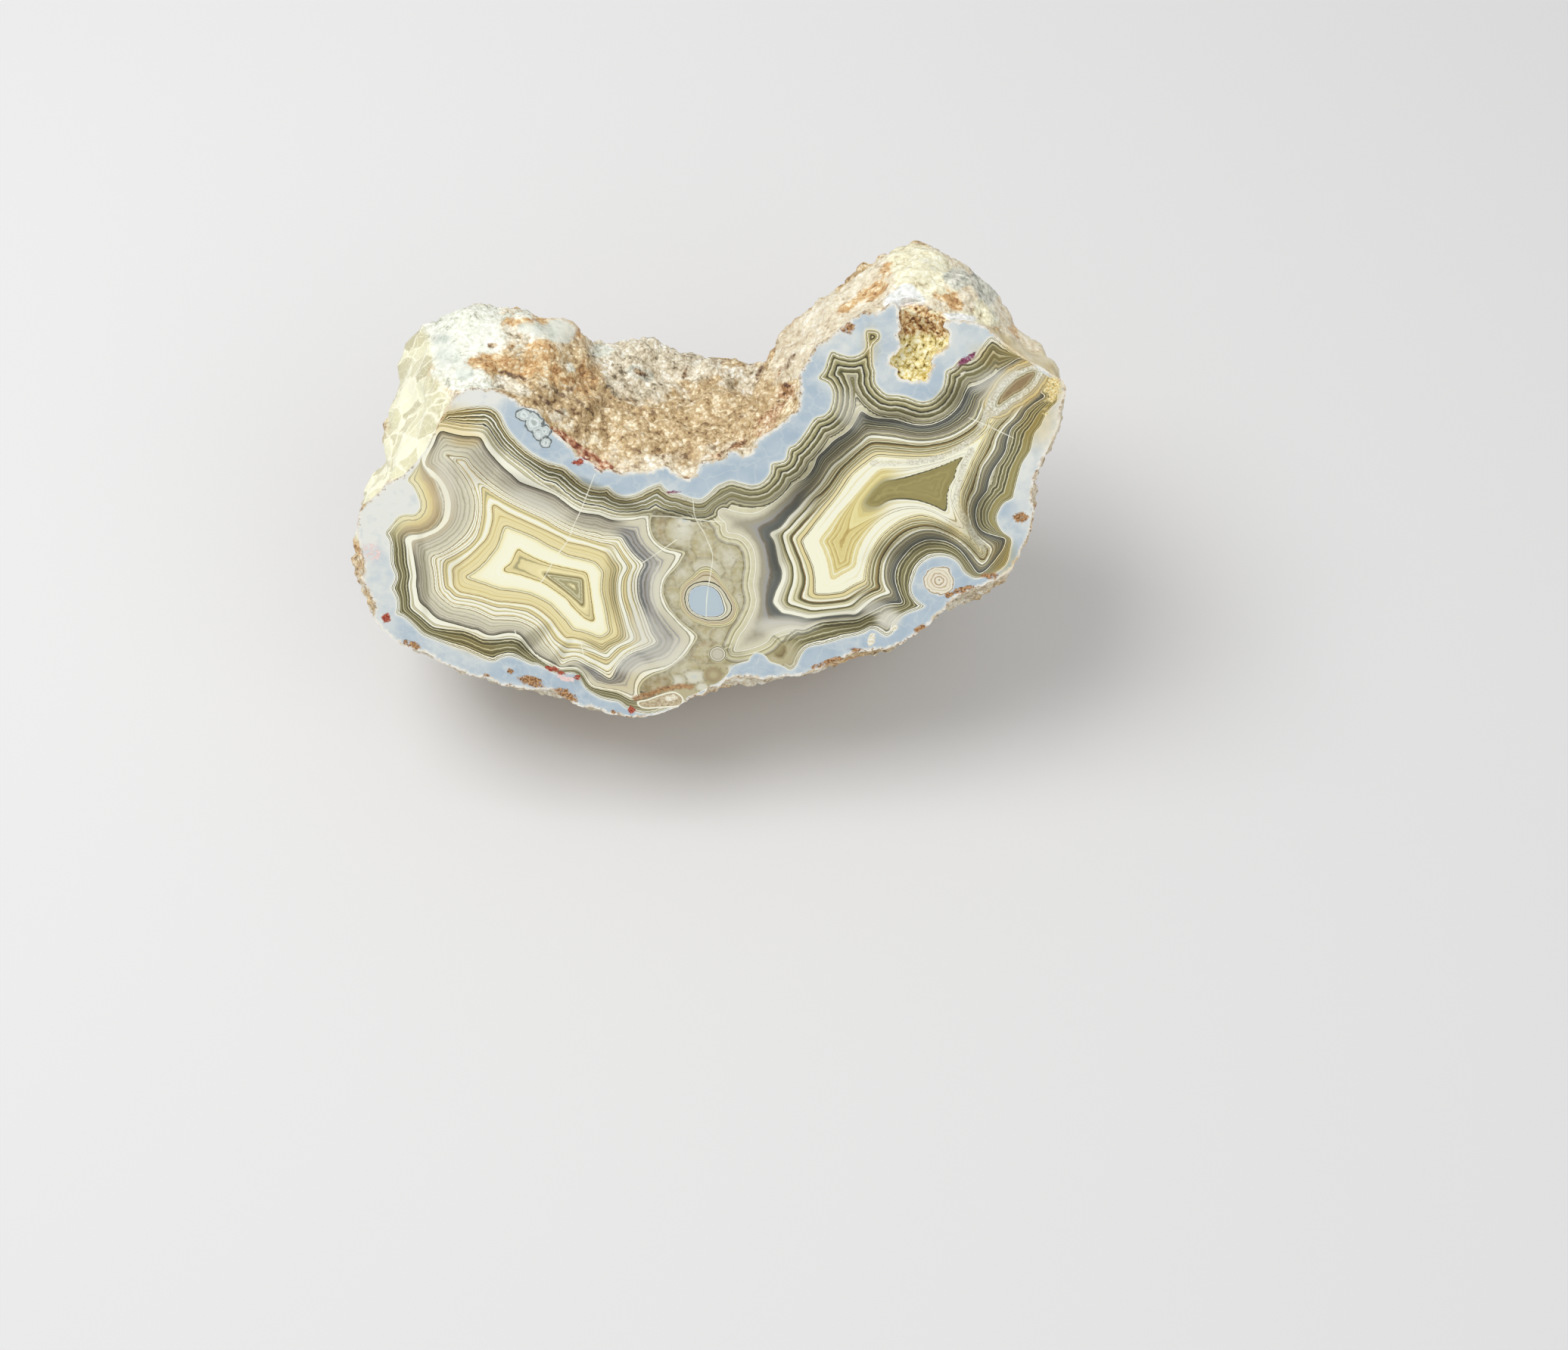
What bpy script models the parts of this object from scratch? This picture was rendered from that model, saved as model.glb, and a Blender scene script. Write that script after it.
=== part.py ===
"""Half of a banded agate nodule: sawn flat and polished on one side, resting on its rind.

Outlines are in millimetres on the cut face: u runs to the right, v up the slope of the
face, and w is the depth behind it. The finished stone stands on z = 0, centred on the
origin, with its long side along X and the cut face looking towards -Y and up.
"""
from math import cos, radians, sin, sqrt

import bmesh
import bpy
import numpy as np
from mathutils import Matrix, Vector, geometry, noise

MM = 0.001
FACE_TILT = radians(37)        # how far above the horizontal the cut face looks
RIM_STEP = 2.3                 # longest edge along the rim
WALL_RINGS = 11                # rings from the rim back to the girdle, the widest line
SHOULDER_SHARES = (0.02, 0.08, 0.18)   # rings past the girdle, as shares of the way inwards
BACK_STEP = 2.1                # spacing of the points on the back
BACK_ROWS = sqrt(3) / 2        # the rows of those points lie this share of a step apart
BACK_MARGIN = 0.6              # the share of a step that they keep to the shoulder
DOME_WIDTH = 18.0              # the back bends over this far in from the girdle
DOME_POWER = 2.3               # 2 is a round shoulder, more is a squarer one
FLAT_CUT = 1.5                 # how much of the underside is worn away where it rests
PIT_DEPTH = 5.0

# Each stretch of the rim goes clockwise, with the stretch of the girdle that lies behind it.
# A rim point is (u, v) and a girdle point is (u, v, w).
LEFT_END = (
    [(1.8, 13.6), (1.2, 14.2), (1.1, 15.3), (0.9, 16.2), (1.1, 17.1), (0.4, 18.2), (0.1, 20),
     (0.1, 22), (-0.1, 24), (-0.1, 25.5), (-0.7, 27.2), (-0.3, 28.2), (0.1, 30), (0.5, 31)],
    [(0.3, 10, 18), (-1.6, 14, 17), (-2.4, 18, 16), (-2.6, 23.5, 16), (-0.9, 28, 16)])
UPPER_LEFT = (
    [(2, 32), (3, 33), (5, 34.5), (7, 35.3), (8.8, 37.4), (10, 39), (11, 41), (12.5, 43.8),
     (13.3, 45.3), (14.5, 46.8)],
    [(0.2, 30, 16.5), (1.9, 33.5, 18), (1.6, 36.6, 19), (3.6, 43, 20), (4.8, 47.8, 20)])
LEFT_TOP = (
    [(15.5, 47.5), (17, 47.6), (18.5, 47.5), (20, 47), (22, 45.6), (23, 44.8), (24.8, 44.2),
     (26, 42.6), (26.8, 41.3), (28, 40.5), (29.3, 39.2), (30.5, 37.5), (31.8, 36.8), (32.2, 35.8)],
    [(8.5, 50.6, 20), (13, 52.1, 20), (19.2, 52, 20), (24.3, 50.8, 20), (27.6, 48.2, 23)])
SADDLE = (
    [(33.8, 36), (36.5, 35.5), (38, 35.3), (39, 35.7), (41, 37), (42, 36.6), (43, 35.2),
     (44, 34.8), (45.1, 34.4), (45.6, 36.8), (46.5, 37.3), (48, 37.7), (50.6, 38.9), (51.3, 38.3),
     (52.5, 38), (53.2, 38.6)],
    [(31.8, 46.3, 26), (36.2, 45.9, 26), (41.7, 44.4, 26), (49, 43.6, 26), (52.6, 42.6, 25)])
RIGHT_SLOPE = (
    [(53.4, 39.5), (55, 41.3), (56.2, 41.9), (58.5, 44), (59.6, 46.5), (59, 48.6), (59.4, 49.6),
     (60.3, 51), (61, 52.6), (62.3, 53.8), (64.5, 55.8), (67, 57.7), (69.8, 57.2), (70.3, 58.4)],
    [(53.8, 43.8, 22), (55.6, 46.8, 22), (59.1, 50.8, 22), (63.5, 54.7, 22), (68.9, 59.5, 21)])
RIGHT_TOP = (
    [(71.2, 59), (72.5, 57.9), (74.5, 58), (75.5, 57.3), (76.5, 56.5), (79, 56.3), (82, 56.1),
     (83.5, 55.6), (85.3, 53.7), (87, 52.6), (88.5, 51.5), (91, 49.9), (92.5, 49), (93.6, 48.6)],
    [(73.1, 62, 20), (78.6, 61.6, 20), (81.8, 60.4, 20), (83.4, 57.3, 20), (88.6, 49.9, 19),
     (93.6, 47.4, 18)])
RIGHT_END = (
    [(94.1, 47.6), (93.9, 46.3), (93.4, 43.5), (93.3, 41.5), (92, 39.4), (91.3, 37.6), (90.8, 36),
     (90.5, 34.6), (90.2, 32.5), (90.7, 29.8), (90.3, 27), (89.3, 24.7), (88.5, 22.4)],
    [(94.9, 43.6, 18), (93.9, 38, 18), (91.6, 30, 18), (90.6, 22.5, 18), (88.9, 18, 18)])
LOWER_RIGHT = (
    [(87.9, 21.7), (86, 20.4), (83.5, 19.4), (81, 18.3), (79.7, 16.7), (78.3, 15.4), (77, 13.5),
     (75, 12.3), (73.2, 10.7), (71.9, 10.3)],
    [(87.2, 16, 18), (84, 13.2, 18), (80.4, 10.4, 19), (74.5, 6.6, 20)])
UNDERSIDE = (
    [(70.3, 10.1), (68.4, 10), (66.9, 9.6), (65, 8.7), (63.8, 8.2), (62.8, 7.5), (61.7, 6.9),
     (59.9, 6.3), (57.4, 6.05), (55.5, 5.9), (53.4, 5.75), (52.3, 6.3), (51.9, 5.85), (49.9, 5.95),
     (48.8, 5.6), (48.5, 4.8), (46.8, 4.1), (45.5, 3.3), (44, 2.5), (43.1, 1.8), (41, 0.7),
     (38.4, -0.2), (36.3, -0.4), (34, 0), (32.5, 0.3), (31.6, 0.85), (29.7, 1.3), (28.5, 1.4)],
    [(73, 4.8, 21), (62, 0.9, 22), (52, -1.2, 23), (43, -2.6, 23), (36, -2.6, 22),
     (29, -1.8, 21)])
LOWER_LEFT = (
    [(27.2, 2.6), (27.1, 3.2), (25.9, 3.4), (24.9, 4.3), (22.4, 4), (19.9, 4.3), (18.2, 4.85),
     (16.4, 5.3), (15.8, 5.8), (13.9, 6.35), (12.1, 7.2), (10.7, 7.9), (9.1, 8.7), (8.3, 9.3),
     (6.5, 9.9), (4.6, 10.7), (3.4, 11.8), (2.4, 12.9)],
    [(26.6, -1.2, 21), (21, 0.2, 20), (13, 2.6, 19), (6.5, 5.6, 18), (2.2, 8, 18)])
STRETCHES = (LEFT_END, UPPER_LEFT, LEFT_TOP, SADDLE, RIGHT_SLOPE, RIGHT_TOP, RIGHT_END,
             LOWER_RIGHT, UNDERSIDE, LOWER_LEFT)
SPINE = [(14, 29), (22, 26), (34, 20), (48, 20), (60, 26), (70, 33), (77, 38)]

# The stone's thickness along its length as (u, w), and how much deeper it hangs low down.
THICKNESS = [(-5, 27), (14, 31), (34, 35), (54, 39), (72, 36), (97, 27)]
SAG_PER_MM = 0.20              # extra depth for each millimetre below SAG_FROM
SAG_FROM = 24.0
CRINKLE_DEPTH = 1.6            # the rim's crinkles die away over about this depth
CRINKLE_SPREAD = 3             # how many points on each side smooth them out

# Lumps: (size of a lump, how far it stands out).
LUMPS = [(14.0, 2.0), (6.4, 1.25), (3.3, 0.6)]
LUMP_PLACE = (0.0, 4.1, 9.7)   # where the random lumps are read, and how far apart the layers are
LAYER_SHIFT = 17.3
CELL_LEVEL = 0.55              # at this distance from a lump's middle it is level with the rest
SWELL_SHARE = 0.5              # softer swells between the lumps, as shares of their height
SWELL_SCALE = 1.7              # and of their size
CALM_BELOW = 0.7               # the share of the lumps left on the underside
FADE_WIDTH = 3.0               # the lumps grow from nothing over this depth behind the rim

# Forms of their own on the rind: (u, v, w), radius, height; a negative height is a hollow.
FORMS = [
    ((42.0, 42.5, 15.0), 8.0, -1.8),    # the basin of the saddle
    ((24.0, 49.0, 12.0), 4.5, 1.5),     # the shoulder that runs down into the saddle
    ((30.0, 44.0, 9.0), 3.5, 1.3),
    ((38.6, 46.5, 24.0), 4.0, 1.4),     # knobs along the back of the saddle
    ((46.5, 45.5, 25.0), 3.5, 0.9),
    ((27.5, 49.0, 20.0), 3.5, 2.0),
    ((53.6, 43.0, 18.0), 3.0, -2.6),    # the notch between the saddle and the right lobe
    ((7.0, 41.0, 9.0), 4.5, -1.5),      # two scoops in the left wall
    ((6.5, 47.0, 14.0), 3.5, -1.2),
    ((82.5, 59.5, 14.0), 4.0, -1.0),    # the streaked slope of the right lobe
]

# The pit: its outline on the cut face, and beyond the rim where it runs out to the rind.
PIT = [(71.4, 59.6), (71.9, 57.3), (71.8, 54.8), (72.3, 52.6), (70.8, 51.2), (71.5, 49.8),
       (71.7, 48.8), (74.3, 48.2), (76, 47.8), (76.3, 50), (76.6, 51.4), (78.5, 53.2),
       (79.2, 54), (78.2, 54.8), (78.3, 56), (76.4, 57), (75.2, 59.2)]
PIT_RINGS = 5
PIT_FLOOR_SHARE = 0.45         # the width of the pit's floor as a share of its mouth
PIT_FRONT = 1.0                # the cutter of the pit stands this far in front of the cut face
PIT_GRAIN = 1.6                # size of the grains that line the pit
PIT_GRAIN_HEIGHT = 0.8
PIT_GRAIN_FROM = 0.5           # the grains start at this depth

RIND_COLOUR = (0.62, 0.52, 0.38, 1.0)
RIND_ROUGHNESS = 0.8
FACE_COLOUR = (0.52, 0.49, 0.36, 1.0)
FACE_ROUGHNESS = 0.15

SAME_PLACE = 1e-5              # points nearer than this (mm) are one point
CUT_REACH = 1e-6               # and on a plane that cuts the stone, in metres
SAME_WAY = 0.999               # least cosine between two directions that are taken as one


def clear_scene():
    for old in list(bpy.data.objects):
        bpy.data.objects.remove(old, do_unlink=True)


def lengths_along(points):
    """The distance from the first point to each point of a line."""
    steps = np.linalg.norm(np.diff(points, axis=0), axis=1)
    return np.concatenate([[0.0], np.cumsum(steps)])


def split_long(points, closing):
    """The points of one stretch of the rim, with long edges split; closing is the next point."""
    line = np.array(points + [closing], float)
    out = []
    for a, b in zip(line[:-1], line[1:]):
        parts = max(1, int(np.ceil(np.linalg.norm(b - a) / RIM_STEP)))
        out += [a + (b - a) * k / parts for k in range(parts)]
    return out


def spline_point(knots, share):
    """A point on the smooth closed curve through the knots; share counts knots from the first."""
    k = int(np.floor(share))
    t = share - k
    p0, p1, p2, p3 = (knots[(k + i) % len(knots)] for i in (-1, 0, 1, 2))
    return 0.5 * (2 * p1 + (p2 - p0) * t + (2 * p0 - 5 * p1 + 4 * p2 - p3) * t * t
                  + (3 * p1 - p0 - 3 * p2 + p3) * t ** 3)


def rim_and_girdle():
    """The rim as (u, v) rows, and the point (u, v, w) of the girdle behind each."""
    knots = np.array([g for stretch in STRETCHES for g in stretch[1]], float)
    rim, girdle = [], []
    first_knot = 0
    for k, (rim_points, girdle_points) in enumerate(STRETCHES):
        following = STRETCHES[(k + 1) % len(STRETCHES)][0][0]
        stretch = split_long(rim_points, following)
        shares = lengths_along(np.array(stretch + [following]))[:-1]
        shares = shares / (shares[-1] + RIM_STEP / 2) * len(girdle_points)
        rim += stretch
        girdle += [spline_point(knots, first_knot + s) for s in shares]
        first_knot += len(girdle_points)
    return np.array(rim), np.array(girdle)


def without_crinkles(rim):
    """The rim averaged over its neighbouring points."""
    spread = range(-CRINKLE_SPREAD, CRINKLE_SPREAD + 1)
    return sum(np.roll(rim, k, axis=0) for k in spread) / len(spread)


def wall_ring(rim, girdle, ring):
    """A ring between the rim and the girdle: it bends from leaning outwards to straight back."""
    t = ring / WALL_RINGS
    depth = girdle[:, 2:] * t
    smooth = without_crinkles(rim)
    edge = smooth + (rim - smooth) * np.exp(-depth / CRINKLE_DEPTH)
    plan = edge + (girdle[:, :2] - edge) * (2 * t - t * t)
    return np.hstack([plan, depth])


def nearest_on_line(points, line, closed):
    """For each point its distance to a line, and the place on it as segment and share."""
    ends = np.roll(line, -1, axis=0) if closed else line[1:]
    starts = line if closed else line[:-1]
    along = ends - starts
    offset = points[:, None, :] - starts[None]
    share = np.clip((offset * along).sum(2) / (along ** 2).sum(1), 0, 1)
    gaps = np.linalg.norm(offset - along * share[..., None], axis=2)
    segment = gaps.argmin(axis=1)
    rows = np.arange(len(points))
    return gaps[rows, segment], segment, share[rows, segment]


def depth_behind(plan, girdle):
    """The depth of the back behind points of the plan: a dome that rises from the girdle."""
    gap, segment, share = nearest_on_line(plan, girdle[:, :2], closed=True)
    after = (segment + 1) % len(girdle)
    start = girdle[segment, 2] * (1 - share) + girdle[after, 2] * share
    length, thickness = np.array(THICKNESS, float).T
    full = np.interp(plan[:, 0], length, thickness) + SAG_PER_MM * (SAG_FROM - plan[:, 1])
    inward = 1 - np.clip(gap / DOME_WIDTH, 0, 1)
    rise = (1 - inward ** DOME_POWER) ** (1 / DOME_POWER)
    return start + (full - start) * rise


def shoulder_plan(girdle, share):
    """The girdle's plan moved inwards, towards the stone's spine."""
    spine = np.array(SPINE, float)
    _, segment, part = nearest_on_line(girdle[:, :2], spine, closed=False)
    target = spine[segment] + (spine[segment + 1] - spine[segment]) * part[:, None]
    return girdle[:, :2] + (target - girdle[:, :2]) * share


def inside(points, outline):
    """Which points lie inside a closed outline, by counting the edges to their right."""
    x, y = points[:, :1], points[:, 1:]
    a, b = outline, np.roll(outline, -1, axis=0)
    spans = (a[:, 1] > y) != (b[:, 1] > y)
    slope = (b[:, 0] - a[:, 0]) / np.where(b[:, 1] == a[:, 1], 1e-9, b[:, 1] - a[:, 1])
    crossing = a[:, 0] + slope * (y - a[:, 1])
    return (spans & (x < crossing)).sum(axis=1) % 2 == 1


def back_plan(outline):
    """Points inside the last shoulder ring, and the triangles that join them to it."""
    low, high = outline.min(axis=0), outline.max(axis=0)
    grid = [(u + (row % 2) * BACK_STEP / 2, v)
            for row, v in enumerate(np.arange(low[1], high[1], BACK_STEP * BACK_ROWS))
            for u in np.arange(low[0], high[0], BACK_STEP)]
    grid = np.array(grid)
    gap, _, _ = nearest_on_line(grid, outline, closed=True)
    grid = grid[inside(grid, outline) & (gap > BACK_STEP * BACK_MARGIN)]
    plan = np.vstack([outline, grid])
    loop = list(range(len(outline)))
    points = [Vector(p) for p in plan]
    verts, _, faces, *_ = geometry.delaunay_2d_cdt(points, [], [loop], 1, SAME_PLACE)
    if len(verts) != len(plan):
        raise ValueError("the back's outline crosses itself")
    return plan, faces


def lumps_at(point):
    """How far the rind stands out at a point (u, v, w), in millimetres."""
    total = 0.0
    for layer, (size, height) in enumerate(LUMPS):
        spot = Vector(point) / size + Vector(LUMP_PLACE) + Vector((layer * LAYER_SHIFT, 0, 0))
        cell = noise.voronoi(spot)[0][0]
        swell = SWELL_SHARE * noise.noise(spot * SWELL_SCALE)
        total += height * (CELL_LEVEL - cell + swell)
    return total


def forms_at(point):
    total = 0.0
    for centre, radius, height in FORMS:
        gap = (Vector(point) - Vector(centre)).length / radius
        total += height * np.exp(-gap * gap)
    return total


def roughen(mesh, fixed):
    """Move each vertex but the fixed ones along its normal, by the lumps and the forms there."""
    mesh.normal_update()
    moves = []
    for vertex in mesh.verts:
        if vertex.index < fixed:
            continue
        grow = min(1.0, vertex.co.z / FADE_WIDTH)
        underside = max(0.0, -vertex.normal.y)
        calm = 1 - (1 - CALM_BELOW) * underside
        move = grow * (calm * lumps_at(vertex.co) + forms_at(vertex.co))
        moves.append((vertex, vertex.normal * move))
    for vertex, move in moves:
        vertex.co += move


def stone_in_face_frame():
    """The closed stone with its cut face on w = 0, as a bmesh in millimetres."""
    rim, girdle = rim_and_girdle()
    rings = [wall_ring(rim, girdle, k) for k in range(WALL_RINGS + 1)]
    for share in SHOULDER_SHARES:
        plan = shoulder_plan(girdle, share)
        rings.append(np.column_stack([plan, depth_behind(plan, girdle)]))
    plan, triangles = back_plan(rings[-1][:, :2])
    count = len(rim)
    back = np.column_stack([plan, depth_behind(plan, girdle)])[count:]

    mesh = bmesh.new()
    verts = [mesh.verts.new(p) for p in np.vstack(rings + [back])]
    for ring in range(len(rings) - 1):
        for k in range(count):
            a = ring * count + k
            b = ring * count + (k + 1) % count
            mesh.faces.new((verts[a], verts[b], verts[b + count], verts[a + count]))
    last = (len(rings) - 1) * count
    for face in triangles:
        mesh.faces.new([verts[last + k] for k in face])
    mesh.faces.new(verts[:count])
    mesh.verts.index_update()
    bmesh.ops.recalc_face_normals(mesh, faces=mesh.faces)
    roughen(mesh, fixed=count)
    return mesh


def face_to_world():
    """The rotation from (u, v, w) to the world, with millimetres turned into metres."""
    tilt = Matrix(((1, 0, 0),
                   (0, sin(FACE_TILT), cos(FACE_TILT)),
                   (0, cos(FACE_TILT), -sin(FACE_TILT))))
    return (tilt * MM).to_4x4()


def wear_flat(mesh):
    """Cut the small flat spot that the stone rests on, level in the world."""
    level = min(v.co.z for v in mesh.verts) + FLAT_CUT * MM
    everything = list(mesh.verts) + list(mesh.edges) + list(mesh.faces)
    cut = bmesh.ops.bisect_plane(mesh, geom=everything, dist=CUT_REACH, plane_co=(0, 0, level),
                                 plane_no=(0, 0, 1), clear_inner=True)
    edges = [e for e in cut["geom_cut"] if isinstance(e, bmesh.types.BMEdge)]
    bmesh.ops.holes_fill(mesh, edges=edges, sides=0)


def centre_shift(mesh):
    """The move that puts the middle of the stone's underside box on the origin."""
    spots = np.array([v.co for v in mesh.verts])
    low, high = spots.min(axis=0), spots.max(axis=0)
    return Matrix.Translation((-(low[0] + high[0]) / 2, -(low[1] + high[1]) / 2, -low[2]))


def pit_cutter_mesh():
    """The hollow of the pit, open in front of the face, with a grainy floor and walls."""
    mouth = np.array(PIT, float)
    middle = mouth.mean(axis=0)
    mesh = bmesh.new()
    rings = []
    for ring in range(PIT_RINGS + 1):
        t = ring / PIT_RINGS
        width = 1 - (1 - PIT_FLOOR_SHARE) * t * t
        plan = middle + (mouth - middle) * width
        depth = (PIT_DEPTH + PIT_FRONT) * t - PIT_FRONT
        rings.append([mesh.verts.new((u, v, depth)) for u, v in plan])
    for front, behind in zip(rings[:-1], rings[1:]):
        for k in range(len(mouth)):
            after = (k + 1) % len(mouth)
            mesh.faces.new((front[k], front[after], behind[after], behind[k]))
    mesh.faces.new(rings[0])
    floor = mesh.faces.new(rings[-1])
    bmesh.ops.triangulate(mesh, faces=[floor])
    bmesh.ops.recalc_face_normals(mesh, faces=mesh.faces)
    behind_mouth = [e for e in mesh.edges if min(v.co.z for v in e.verts) > SAME_PLACE - PIT_FRONT]
    bmesh.ops.subdivide_edges(mesh, edges=behind_mouth, cuts=1)
    mesh.normal_update()
    for vertex in mesh.verts:
        if vertex.co.z > PIT_GRAIN_FROM:
            grain = noise.noise(vertex.co / PIT_GRAIN) * PIT_GRAIN_HEIGHT
            vertex.co += vertex.normal * grain
    bmesh.ops.triangulate(mesh, faces=mesh.faces)
    return mesh


def stone_material(name, colour, roughness):
    material = bpy.data.materials.new(name)
    material.use_nodes = True
    shader = material.node_tree.nodes["Principled BSDF"]
    shader.inputs["Base Color"].default_value = colour
    shader.inputs["Roughness"].default_value = roughness
    return material


def object_from(mesh, name, placing):
    """An object from a bmesh; u, v, w is left-handed, so the faces are turned out again here."""
    bmesh.ops.transform(mesh, matrix=placing, verts=mesh.verts)
    bmesh.ops.recalc_face_normals(mesh, faces=mesh.faces)
    data = bpy.data.meshes.new(name)
    mesh.to_mesh(data)
    mesh.free()
    piece = bpy.data.objects.new(name, data)
    bpy.context.collection.objects.link(piece)
    return piece


def paint(stone):
    """The rind's material all over, and the polished face's on the flat cut."""
    stone.data.materials.append(stone_material("rind", RIND_COLOUR, RIND_ROUGHNESS))
    stone.data.materials.append(stone_material("polished_face", FACE_COLOUR, FACE_ROUGHNESS))
    face_normal = Vector((0, -cos(FACE_TILT), sin(FACE_TILT)))
    largest = max(stone.data.polygons, key=lambda p: p.area)
    if largest.normal.dot(face_normal) < SAME_WAY:
        raise ValueError("the cut face isn't where it should be")
    largest.material_index = 1


def build():
    clear_scene()
    stone_mesh = stone_in_face_frame()
    bmesh.ops.transform(stone_mesh, matrix=face_to_world(), verts=stone_mesh.verts)
    wear_flat(stone_mesh)
    shift = centre_shift(stone_mesh)
    stone = object_from(stone_mesh, "agate_half", shift)
    paint(stone)

    cutter = object_from(pit_cutter_mesh(), "pit_cutter", shift @ face_to_world())
    cutter.hide_render = True
    cutter.display_type = "WIRE"
    pit = stone.modifiers.new("pit", "BOOLEAN")
    pit.operation = "DIFFERENCE"
    pit.solver = "EXACT"
    pit.object = cutter


build()
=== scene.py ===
from math import cos, radians, sin, sqrt

import bmesh
import bpy
import numpy as np
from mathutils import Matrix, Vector, noise
from mathutils.bvhtree import BVHTree
from mathutils.geometry import delaunay_2d_cdt


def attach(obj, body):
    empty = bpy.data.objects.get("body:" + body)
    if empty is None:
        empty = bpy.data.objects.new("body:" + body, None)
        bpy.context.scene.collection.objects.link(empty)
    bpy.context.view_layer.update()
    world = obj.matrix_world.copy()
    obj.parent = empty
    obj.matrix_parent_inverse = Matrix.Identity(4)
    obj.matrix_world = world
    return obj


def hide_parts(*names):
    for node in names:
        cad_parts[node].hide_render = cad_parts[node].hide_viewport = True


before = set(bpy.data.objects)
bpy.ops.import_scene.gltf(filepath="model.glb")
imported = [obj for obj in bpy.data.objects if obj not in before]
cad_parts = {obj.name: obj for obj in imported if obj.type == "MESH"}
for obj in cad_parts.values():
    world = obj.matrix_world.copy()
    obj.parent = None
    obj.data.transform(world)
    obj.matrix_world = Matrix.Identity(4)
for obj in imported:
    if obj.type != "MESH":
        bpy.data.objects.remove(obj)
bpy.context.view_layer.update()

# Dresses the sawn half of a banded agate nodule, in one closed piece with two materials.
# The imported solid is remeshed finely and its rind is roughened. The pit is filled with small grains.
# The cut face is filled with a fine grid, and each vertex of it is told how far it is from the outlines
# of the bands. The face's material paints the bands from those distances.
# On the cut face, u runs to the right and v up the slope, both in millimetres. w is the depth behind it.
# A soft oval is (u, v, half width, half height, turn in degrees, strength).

MM = 0.001

# The cut face's place: its normal's elevation, its leftmost u and its lowest v
FACE_TILT = radians(37)
LEFTMOST_U = -0.7
LOWEST_V = -0.4
NORMAL = Vector((0, -cos(FACE_TILT), sin(FACE_TILT)))
UP_SLOPE = Vector((0, sin(FACE_TILT), cos(FACE_TILT)))

# The photograph's viewpoint in face coordinates, the camera's pitch and its lens
EYE_PLACE = (57.16, 128.91, -275.50)
CAMERA_PITCH = radians(61)
LENS_MM = 50
SENSOR_MM = 36

# Mesh sizes
PLANE_SNAP = 0.00002
FRONT_SPARE = 3.0
VOXEL = 0.42
BLEND_ROUNDS = 6
BLEND_SHARE = 0.5
FACE_STEP = 0.31
RIM_GAP = 0.16
RIM_WELD = 0.03
CHUNK = 1500
RIND_SHARE = 0.45
THINNING = [(-9.0, 0.0, 1.0), (0.0, 2.5, 0.0), (2.5, 8.0, 0.3), (8.0, 99.0, 1.0)]
THINNING_FORCE = 3.0

# Curves and distances through the outlines
CURVE_STEPS = 3
FAR = 6.0
SKIN_SHARE = 0.2
THIN_GAP_SHARE = 0.3

# Skins beside each outline in millimetres, and how deep the innermost zones reach
LEFT_SKINS = [0.25, 0.25, 0.2, 0.25, 0.25, 0.25, 0.5, 0.25, 0.25]
RIGHT_SKINS = [0.25, 0.25, 0.25, 0.2, 0.25, 2.0, 1.2]
EYE_SKINS = [0.2, 0.15, 0.15, 0.2]
CORE_SPAN = 6.0
EYE_SPAN = 4.0
STRIPES_WIDTH = 3.2
STRIPE_SKIN = 0.25
BORDER_SKIN = 0.35

# Soft ovals, lumps and lines of the face
TONE_EDGE = 1.0
LUMP_GROUND = 0.5
LUMP_WOBBLE = 0.12
LUMP_EDGE = 0.22
LUMP_LINE = 0.08
LUMP_DOME = 0.25
LEVEL_SHAKE = 0.07
FINE_LINES = 7.0
BANDS_A_RAMP = 13
BAND_BLEND = 0.4
LINE_SOFT = 0.015
STRIPE_SOFT = 0.008
LOBE_LEAN = 0.3

# Relief of the rind: lumps, grains, streaks and scoops, with sizes and heights in millimetres
FLAT_FADE = 2.0
RIM_FADE = 4.0
RIM_START = 0.6
RIM_KEEP = 0.4
LUMP_SIZE = 7.0
LUMP_RISE = 0.5
GRAINS = [(2.6, 0.6), (1.3, 0.34)]
GRAIN_GAP = 0.12
GAP_DEPTH = 0.6
CALM_SHARE = 0.85
STREAK_TURN = -33
STREAK_SIZE = (4.5, 1.1)
STREAK_RISE = 0.8
SCOOP_SIZE = 4.5
SCOOP_RISE = 0.8
PATCH_DEPTH = 9.0

# The pit: how far round its mouth it starts, how deep it is told, how far it is filled, and its grains
PIT_CENTRE = (75, 54)
PIT_SPARE = 0.35
PIT_REACH = 8.0
PIT_FILL = 3.0
PIT_GRAINS = [(1.5, 1.1), (0.85, 0.6)]
PIT_BESIDE = (7, 9)
PIT_MOUTH_FADE = 0.4
PIT_FILL_START = 1
PIT_FILL_FADE = 3
PIT_TOP = 53.0

# Grain of the materials
GRAIN_SIZE = 0.42
PIT_GRAIN_SIZE = 0.5
WALL_FACET = (4.6, 2.4)
WALL_TURN = 62
BUMP_STRENGTH = 0.5
BUMP_RISE = 0.22

# Studio
FLOOR_REACH = 2.0
WORLD_STRENGTH = 0.55
LAMPS = [("key", (-0.25, 0.05, 0.55), 0.35, 2.2), ("fill", (0.35, -0.3, 0.5), 0.5, 0.7)]
LAMP_AIM = (0, 0, 0.03)

# Outlines of the bands on the cut face, from the outside in, (u, v) in millimetres

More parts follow.
